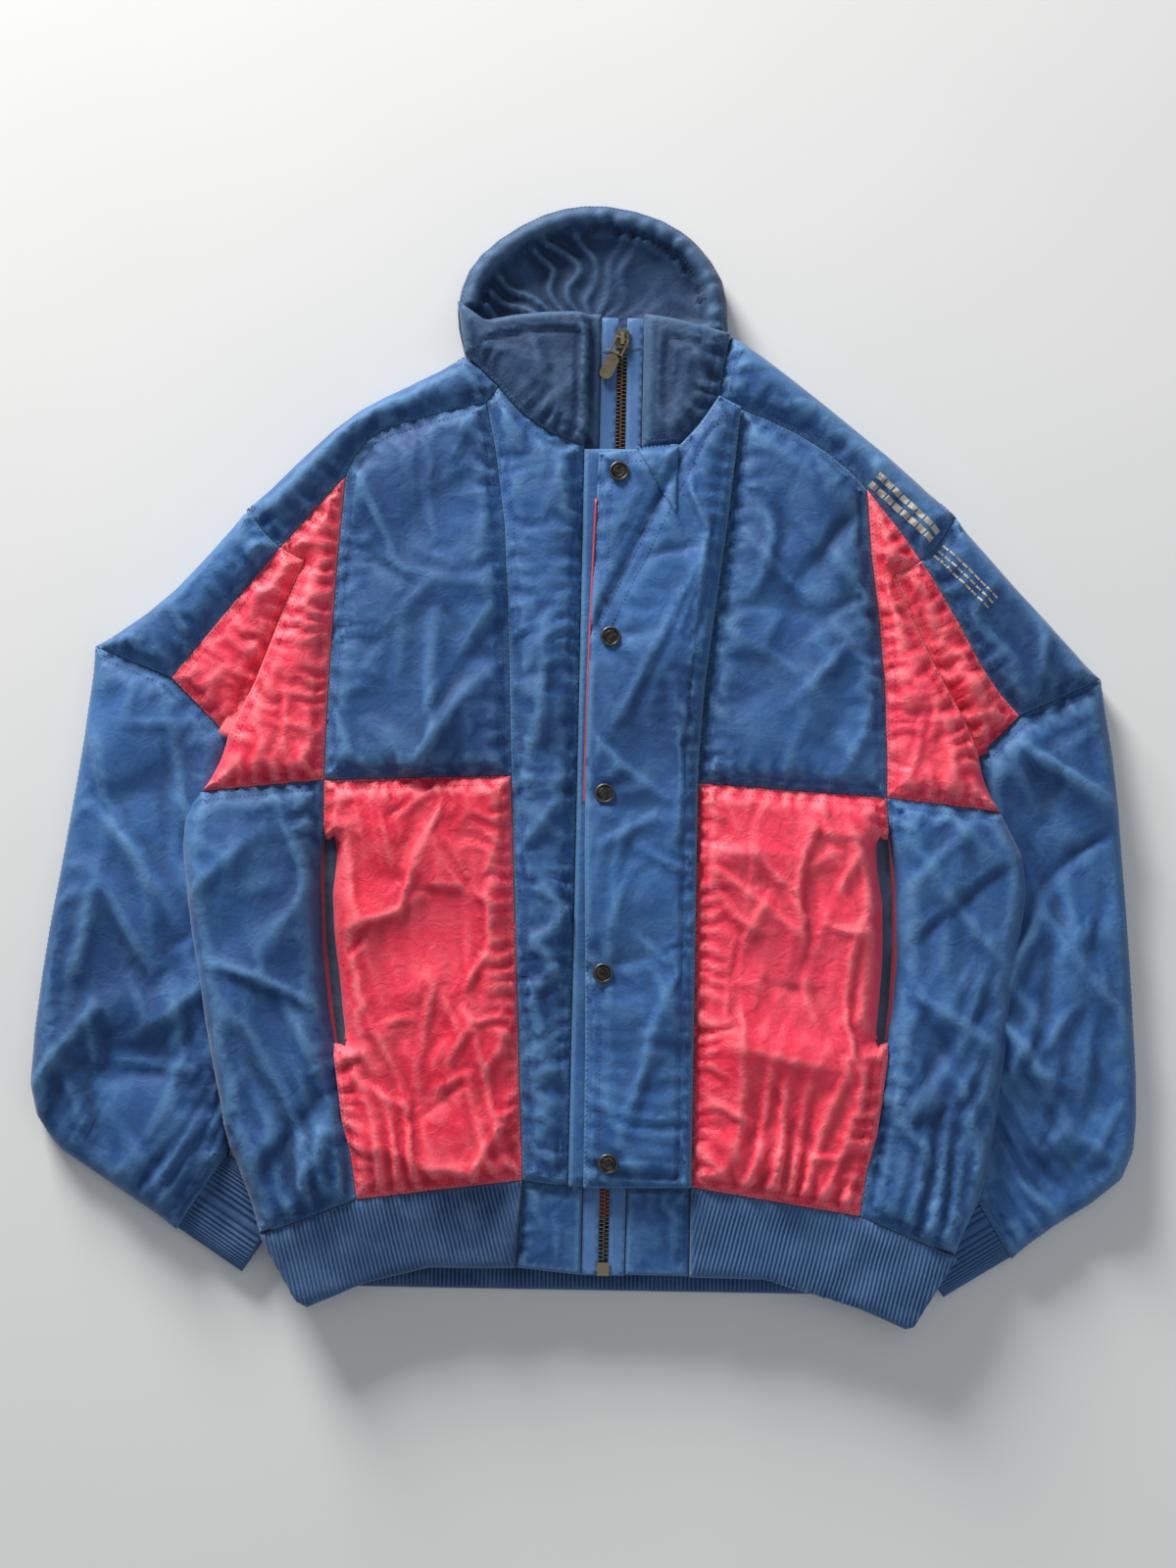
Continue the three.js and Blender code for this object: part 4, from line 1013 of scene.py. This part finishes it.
for name, node in (("hem_knit_right", "hem_rib_right"), ("hem_knit_left", "hem_rib_left"),
                   ("hem_knit_back", "hem_rib_back")):
    band = knitBand(name, node, thick=0.2 if name.endswith("back") else 1.0)
    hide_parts(node)
    carry(band, "body")


cuffs = {"inset": 2.5, "under": 7, "rows": 16, "ridges": 54, "steps": 6, "wall": 2.6,
         "squareness": 0.75, "mouth": 0.12}


def knitCuff(side):
    # a flattened tube, ribbed outside, open at the wrist
    node = side + "_cuff"
    loop = outlineOf(node)
    arm = outlineOf(side + "_forearm").mean(0)
    middle = loop.mean(0)
    along = np.linalg.svd(loop - middle, full_matrices=False)[2]
    ends = [abs((arm - middle) @ axis) / np.linalg.norm(arm - middle) for axis in along]
    way = along[int(np.argmax(ends))]
    way = way if way @ (arm - middle) > 0 else -way
    across = np.array([-way[1], way[0]])
    u, v = (loop - middle) @ across, (loop - middle) @ way
    rolled = np.column_stack([v, u])
    last = v.max() - cuffs["inset"]
    rows = np.linspace(v.min() + cuffs["inset"], last + cuffs["under"], cuffs["rows"])
    ridges = cuffs["ridges"]
    turns = np.linspace(0, 2 * math.pi, ridges * cuffs["steps"], endpoint=False)
    low, high = (c.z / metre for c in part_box(node))
    outerPoints, innerPoints = [], []
    for row in rows:
        cuts = cutAcross(rolled, min(row, last - 6))
        half, centre = (max(cuts) - min(cuts)) / 2, (max(cuts) + min(cuts)) / 2
        rise = (high - low) / 2 * (1 - cuffs["mouth"] * np.exp(-((row - rows[0]) / 5) ** 2))
        for wall, out in ((0.0, outerPoints), (cuffs["wall"], innerPoints)):
            ridge = knit["depth"] * (np.abs(np.sin(turns * ridges / 2)) - 1) if wall == 0 else 0
            c, s = np.cos(turns), np.sin(turns)
            x = centre + (half - wall + ridge) * np.sign(c) * np.abs(c) ** cuffs["squareness"]
            z = (low + high) / 2 \
                + (rise - wall + ridge) * np.sign(s) * np.abs(s) ** cuffs["squareness"]
            spot = middle + np.outer(x, across) + way * row
            out.append(np.column_stack([spot, z]))
    outer, inner = np.vstack(outerPoints), np.vstack(innerPoints)
    count, ring = len(outer), len(turns)
    at = np.arange(count).reshape(len(rows), ring)
    faces = []
    for i in range(len(rows) - 1):
        for j in range(ring):
            k = (j + 1) % ring
            four = (int(at[i, j]), int(at[i, k]), int(at[i + 1, k]), int(at[i + 1, j]))
            faces.append(four)
            faces.append(tuple(n + count for n in reversed(four)))
    for j in range(ring):
        k = (j + 1) % ring
        faces.append((int(at[0, k]), int(at[0, j]), int(at[0, j]) + count, int(at[0, k]) + count))
        faces.append((int(at[-1, j]), int(at[-1, k]), int(at[-1, k]) + count,
                      int(at[-1, j]) + count))
    cuff = makeObject(side + "_wrist_knit", np.vstack([outer, inner]), faces, "ribYarn")
    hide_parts(node)
    return carry(cuff, side + "_sleeve")


for side in ("right", "left"):
    knitCuff(side)
print("jacket: ribs and cuffs knitted")


# the collar's back: a padded rim round a gathered inner face

collar = {"rimWide": 21.0, "rimSides": 33.0, "rimTop": 25.0, "floor": 8.0, "pleats": 9.5,
          "pleatPitch": 23.0}


def collarBack():
    node = "collar_back"
    cut = layOut([node], 2.8, (1.0, 2.5, 4.5))
    flat, gap, free = cut["flat"], cut["gap"], cut["free"]
    low, high = boxOf(node)
    share = np.clip((flat[:, 1] - low[1]) / (high[1] - low[1]), 0, 1)
    rimHigh = collar["rimSides"] + (collar["rimTop"] - collar["rimSides"]) * share
    wide = collar["rimWide"]
    middle = wide / 2
    bulge = np.sqrt(np.clip(1 - ((gap - middle) / middle) ** 2, 0, 1))
    inRim = (gap < wide) & (free > 0.3)
    centre = np.array([(low[0] + high[0]) / 2, low[1] + 0.25 * (high[1] - low[1])])
    away = flat - centre
    angle = np.arctan2(away[:, 1], away[:, 0])
    onRight = 1 / (1 + np.exp(away[:, 0] / 16))  # deep pleats on the wearer's right
    phase = angle * 70 / collar["pleatPitch"] + 1.4 * grain(flat[:, 0] / 30, flat[:, 1] / 30, 77)
    wave = 1 - 2 * np.abs(np.sin(math.pi * phase)) ** 0.7
    inward = np.clip(gap - wide, 0, 99)
    pleats = collar["pleats"] * (0.06 + 0.94 * onRight) * wave
    inner = collar["floor"] + 3 + pleats * (0.35 + 0.65 * np.exp(-inward / 20)) * 0.6
    inner = inner + 9.0 * np.exp(-inward / 6)
    inner = inner + 3.4 * grain(flat[:, 0] / 30, flat[:, 1] / 30, 78)
    inner = inner + folds(flat, 21000, [(2, 70, 25, (50, 110), (8, 13), (2, 4.5))], 81)
    facing = np.exp(-((flat[:, 1] - low[1] - 14) / 5) ** 2)
    inner = np.maximum(inner + 3.0 * facing, collar["floor"])
    ruck = 1.1 * np.sin(cut["run"] / 2.9 + 5 * grain(flat[:, 0] / 26, flat[:, 1] / 26, 79))
    ruck = ruck * np.clip(0.6 + 2 * grain(flat[:, 0] / 30, flat[:, 1] / 30, 80), 0.1, 1.4)
    rim = 8.5 + (rimHigh - 8.5) * bulge + ruck * bulge
    rim = rim - 1.6 * np.exp(-((gap - 3.6) / 1.1) ** 2)
    top = np.where(inRim, np.maximum(rim, 9.0), inner)
    clear = np.clip(free + (gap > 3), 0, 1)
    top = top * clear + 9.0 * (1 - clear)
    upper = np.column_stack([flat, top])
    points, faces = closeShell(cut, upper, np.column_stack([flat, np.where(gap < 4, 1.5, 0.3)]))
    piece = makeObject("collar_back_gathered", points, faces, "collarNylon")
    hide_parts(node)
    carry(piece, "body")
    cut["freeEdge"] = 1 - cut["freeEdge"]  # these rows run along the free rim
    rows = [stitchesOn(cut, upper, offset) for offset in (3.6, wide - 3.0)]
    sew("collar_back_stitching", rows, "blueThread", "body")


collarBack()


# the hanger loop, a short woven strap arched between its two ends

hanger = {"steps": 24, "arch": 2.8, "narrow": 0.85, "bulge": 0.25, "thick": 1.1}


def hangerLoop():
    low, high = boxOf("hanger_loop")
    steps, half = hanger["steps"], (high[1] - low[1]) / 2
    middle = (low + high) / 2
    section = ((-half, 0), (0, hanger["bulge"]), (half, 0), (half, -hanger["thick"]),
               (-half, -hanger["thick"]))
    points = []
    for i in range(steps + 1):
        t = i / steps
        x = low[0] + (high[0] - low[0]) * t
        z = high[2] + hanger["arch"] * math.sin(math.pi * t)
        points += [(x, middle[1] + y * hanger["narrow"], z + up) for y, up in section]
    strap = makeObject("hanger_strap", points, tubeFaces(steps + 1, len(section)), "zipTape",
                       smooth=False)
    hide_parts("hanger_loop")
    carry(strap, "body")


hangerLoop()


# the zip: woven tapes and two rows of small brass teeth

zipLook = {"pitch": 2.9, "toothLong": 3.4, "toothWide": 1.45, "toothHigh": 2.3, "past": 0.75,
           "profile": ((0.25, 0.5, 0.9), (1.2, 0.30, 1.0)),
           "section": ((-1, -0.6), (-0.6, -1), (0.6, -1), (1, -0.6), (1, 0.6), (0.6, 1),
                       (-0.6, 1), (-1, 0.6))}


def zipTapes():
    for side in ("right", "left"):
        node = "zip_tape_" + side
        piece = clothLayer("tape_" + side, node, "body", "zipTape")
        area = abs(loopArea(outlineOf(node))) * metre * metre


def zipTeeth():
    lows, highs = zip(*[boxOf("zip_teeth_" + side) for side in ("right", "left")])
    way = -np.array(jointNamed("zip_slide")["axis"][:2])
    way /= np.linalg.norm(way)
    across = np.array([way[1], -way[0]])
    slider = sum(np.array(c)[:2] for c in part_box("zip_slider")) / 2 / metre
    bottom = min(low[1] for low in lows)
    length = max(high[1] for high in highs) - bottom
    start = slider + way * ((bottom + 1.5 - slider[1]) / way[1])
    z = (lows[0][2] + highs[0][2]) / 2
    size = zipLook
    profile = ((-size["past"], 0.42, 0.62), *size["profile"],
               (size["toothLong"] - 0.6, 0.5, 1.0), (size["toothLong"], 0.38, 0.7))
    for side, sign in (("right", -1), ("left", 1)):
        points, faces = [], []
        count = int(length / size["pitch"]) - 1
        for i in range(count):
            at = start + way * (i + (0.5 if side == "left" else 0)) * size["pitch"]
            first = len(points)
            for out, wide, tall in profile:
                for du, dz in size["section"]:
                    spot = at + across * sign * out + way * du * wide * size["toothWide"] / 1.3
                    points.append((*spot, z + dz * tall * size["toothHigh"] / 2))
            for r in range(len(profile) - 1):
                for j in range(8):
                    k = (j + 1) % 8
                    four = (first + r * 8 + j, first + r * 8 + k, first + r * 8 + 8 + k,
                            first + r * 8 + 8 + j)
                    faces.append(four if sign > 0 else four[::-1])
            last = first + (len(profile) - 1) * 8
            near, far = tuple(range(first, first + 8)), tuple(range(last, last + 8))
            faces.append(near[::-1] if sign > 0 else near)
            faces.append(far if sign > 0 else far[::-1])
        row = makeObject("teeth_" + side, points, faces, "zipBrass", smooth=False)
        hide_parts("zip_teeth_" + side)
        carry(row, "body")


zipTapes()
zipTeeth()
for finish, nodes in (("zipBrass", ("zip_box", "zip_slider", "pull_link", "pull_tag")),
                      ("gunmetal", [f"snap_stud_{number}" for number in snaps])):
    for node in nodes:
        mesh = frame["nodes"][node].data
        mesh.materials.clear()
        mesh.materials.append(finishes[finish])
print("jacket: zip made up")


# snap caps, turned with a rolled rim and a plain ring

capProfile = ((0, 41.9), (4.4, 41.9), (4.9, 42.3), (4.7, 43.2), (2.4, 43.3), (2.3, 48.6),
              (6.6, 48.7), (7.3, 48.95), (7.5, 49.6), (7.35, 50.3), (6.9, 50.75), (6.3, 50.85),
              (5.75, 50.6), (5.3, 50.2), (4.5, 50.25), (4.1, 50.55), (3.6, 50.6), (3.2, 50.3),
              (2.0, 50.45), (0, 50.55))


def snapCap(number, centre):
    turns, points, faces, rings = 40, [], [], []
    for radius, z in capProfile:
        if radius == 0:
            rings.append([len(points)])
            points.append((centre[0], centre[1], z))
            continue
        rings.append(list(range(len(points), len(points) + turns)))
        points += [(centre[0] + radius * math.cos(2 * math.pi * i / turns),
                    centre[1] + radius * math.sin(2 * math.pi * i / turns), z)
                   for i in range(turns)]
    for low, high in zip(rings, rings[1:]):
        for i in range(turns):
            j = (i + 1) % turns
            if len(low) == 1:
                faces.append((low[0], high[j], high[i]))
            elif len(high) == 1:
                faces.append((low[i], low[j], high[0]))
            else:
                faces.append((low[i], low[j], high[j], high[i]))
    cap = makeObject(f"cap_{number}", points, faces, "gunmetal")
    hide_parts(f"snap_cap_{number}")
    carry(cap, "storm_flap")


for number, centre in enumerate(capCentres, 1):
    snapCap(number, centre)
print("jacket: snaps set")


# the flap's turned-over top corner, and the lining that peeps out along its free edge

trims = {"flapHigh": 46.0, "cornerLift": 0.5, "cornerThick": 1.0, "cornerFull": 3.6,
         "rollWide": 0.9, "rollHigh": 0.8, "rollAt": 44.6, "rollSteps": 8, "rollIn": 0.3}


def layOn(points2d, tree, lift):
    out = []
    for x, y in points2d:
        hit = meet(tree, x, y)
        out.append((x, y, (hit[0].z if hit[0] is not None else trims["flapHigh"]) + lift))
    return np.array(out)


def turnedCorner():
    high = boxOf("storm_flap")[1]
    corner = np.array([[high[0] - 45, high[1] - 14], [high[0] - 13, high[1] - 12],
                       [high[0] - 15, high[1] - 66]])
    cut = layOut([], 3.0, (0.9, 2.0), loops=[corner if loopArea(corner) > 0 else corner[::-1]])
    flat, gap = cut["flat"], cut["gap"]
    top = layOn(flat, treeOf(flapCloth["top"], flapCloth["cut"]["faces"]), trims["cornerLift"])
    under = top.copy()
    top[:, 2] += trims["cornerThick"] + trims["cornerFull"] * (1 - np.exp(-gap / 4))
    points, faces = closeShell(cut, top, under)
    piece = makeObject("flap_corner_fold", points, faces, "blueNylon")
    carry(piece, "flapFold")


def liningEdge():
    # a narrow rolled edge of lining under the flap's free edge
    loop = outlineOf("storm_flap")
    left = loop[:, 0].min()
    ring = evenly(loop, 4.0)
    line = ring[ring[:, 0] < left + 22]
    line = line[np.argsort(line[:, 1])]
    line = line[(line[:, 1] > -40) & (line[:, 1] < 190)]
    points, steps = [], trims["rollSteps"]
    for x, y in line:
        for step in range(steps):
            turn = 2 * math.pi * step / steps
            points.append((x - trims["rollIn"] + trims["rollWide"] * math.cos(turn), y,
                           trims["rollAt"] + trims["rollHigh"] * math.sin(turn)))
    piece = makeObject("flap_lining_edge", points, tubeFaces(len(line), steps), "liningTaffeta")
    carry(piece, "flapFold")


turnedCorner()
liningEdge()


# plain printed bars on the wearer's left sleeve, standing in for lettering

printed = {"rise": 0.4, "sunk": 0.7, "along": 2, "across": 6}


def barCorners(tree, centre, along, across, steps):
    # a bar laid on the cloth, or nothing where it would hang over an edge
    corners = []
    for i in range(steps[0] + 1):
        for j in range(steps[1] + 1):
            spot = centre + along * (i / steps[0]) + across * (j / steps[1])
            hit = meet(tree, *spot)
            if hit[0] is None:
                return None
            corners.append((*spot, hit[0].z + printed["rise"]))
    return corners


def printedBars():
    owners = [panelNamed(name) for name in ("left_yoke", "left_upper_sleeve")]
    trees = [treeOf(owner["top"], owner["cut"]["faces"]) for owner in owners]
    pivot, way = sleeves["left"]
    across = np.array([-way[1], way[0]])
    bars = [(4 + i * 8.0, row, 6.8, 4.4) for row in (-6.0, 1.6) for i in range(8)]
    bars += [(76 + i * 6.4, row, 5.2, 1.6) for row in (-11.0, -6.0, -1.0) for i in range(9)]
    groups = [([], []) for _ in owners]
    for along, offset, wide, tall in bars:
        centre = pivot + way * (along + printed["along"]) + across * (offset + printed["across"])
        steps = (6, 4) if tall > 4 else (5, 2)
        for tree, (points, faces) in zip(trees, groups):
            corners = barCorners(tree, centre, way * wide, across * tall, steps)
            if corners is None:
                continue
            first = len(points)
            points += corners + [(x, y, z - printed["sunk"]) for x, y, z in corners]
            at = np.arange(len(corners)).reshape(steps[0] + 1, steps[1] + 1)
            faces += [tuple(first + i for i in face) for face in closeGrid(at)]
            break
    for owner, (points, faces) in zip(owners, groups):
        if points:
            piece = makeObject(owner["name"] + "_print", points, faces, "creamPrint",
                               smooth=False)
            carry(piece, owner["body"])


printedBars()


# the spare cloth of each underarm lies flat inside the body, a thin fan swept round the sleeve's
# pivot

underarm = {"swing": 44.0, "start": 2.5, "columns": 15, "height": 24.9, "thick": 0.8,
            "near": 3.0, "ripple": 0.35, "ripples": 6}


def underarmFold(side):
    pivot, way = sleeves[side]
    inwards = 1 if side == "right" else -1
    body, sleeve = outlineOf(side + "_upper_side"), outlineOf(side + "_sleeve_gusset")
    line = evenly(sleeve, 5.0)
    apart = nearestOn(line, body, np.roll(body, -1, axis=0))[0]
    line = line[apart < underarm["near"]]
    line = line[np.argsort(np.linalg.norm(line - pivot, axis=1))]
    columns = underarm["columns"]
    points = []
    for spot in line:
        away = spot - pivot
        for i in range(columns):
            t = i / (columns - 1)
            turn = math.radians(inwards * (underarm["swing"] * t - underarm["start"]))
            c, s = math.cos(turn), math.sin(turn)
            x, y = pivot + (away[0] * c - away[1] * s, away[0] * s + away[1] * c)
            ripple = underarm["ripple"] * math.sin(t * math.pi * underarm["ripples"])
            points.append((x, y, underarm["height"] + ripple))
    faces = closeGrid(np.arange(len(points)).reshape(len(line), columns))
    points += [(x, y, z - underarm["thick"]) for x, y, z in points]
    piece = makeObject(side + "_underarm_fold", points, faces, "redNylon")
    carry(piece, side)


for side in ("right", "left"):
    underarmFold(side)
print("jacket: trims, print and folds placed")


# floor, light and camera

def makeStage():
    finish, tree, shader = newFinish("paleFloor")
    place = addNode(tree, "ShaderNodeTexCoord").outputs["Object"]
    soft = addNode(tree, "ShaderNodeTexNoise", Vector=place, Scale=2.5, Detail=2.0)
    tree.links.new(blendColours(tree, soft.outputs[0], linear((226, 226, 224)),
                                linear((234, 234, 232))), shader.inputs["Base Color"])
    shader.inputs["Roughness"].default_value = 0.9
    mesh = bpy.data.meshes.new("floor")
    mesh.from_pydata([(-4, -4, -0.0006), (4, -4, -0.0006), (4, 4, -0.0006), (-4, 4, -0.0006)],
                     [], [(0, 1, 2, 3)])
    mesh.materials.append(finish)
    floor = bpy.data.objects.new("floor", mesh)
    bpy.context.scene.collection.objects.link(floor)


lamps = {"window": {"place": (-1.5, 3.2, 1.25), "size": 1.3, "power": 232},
         "sky": {"place": (0.5, 0.2, 2.4), "size": 2.0, "power": 9},
         "fill": {"place": (1.3, -1.4, 1.3), "size": 1.6, "power": 4}}


def makeLight():
    for name, lamp in lamps.items():
        data = bpy.data.lights.new(name, "AREA")
        data.size = lamp["size"]
        data.energy = lamp["power"]
        data.color = (1.0, 0.985, 0.96) if name == "window" else (0.93, 0.96, 1.0)
        light = bpy.data.objects.new(name, data)
        light.location = lamp["place"]
        light.rotation_euler = (-Vector(lamp["place"])).to_track_quat("-Z", "Y").to_euler()
        bpy.context.scene.collection.objects.link(light)
    world = bpy.data.worlds.new("studio")
    world.use_nodes = True
    back = world.node_tree.nodes["Background"]
    back.inputs[0].default_value = (0.86, 0.92, 1.0, 1)
    back.inputs[1].default_value = 0.22
    bpy.context.scene.world = world


shot = {"aim": (0.0033, -0.0234, 0.035), "away": 1.55, "tilt": 4.0, "frameTall": 1.168}


def makeCamera():
    data = bpy.data.cameras.new("overhead")
    data.sensor_fit = "VERTICAL"
    data.angle = 2 * math.atan(shot["frameTall"] / 2 / shot["away"])
    camera = bpy.data.objects.new("overhead", data)
    aim, tilt = Vector(shot["aim"]), math.radians(shot["tilt"])
    camera.location = aim + Vector((0, -math.sin(tilt), math.cos(tilt))) * shot["away"]
    camera.rotation_euler = (tilt, 0, 0)
    bpy.context.scene.collection.objects.link(camera)
    bpy.context.scene.camera = camera


makeStage()
makeLight()
makeCamera()
bpy.context.scene.view_settings.view_transform = "Standard"


print("jacket: done")
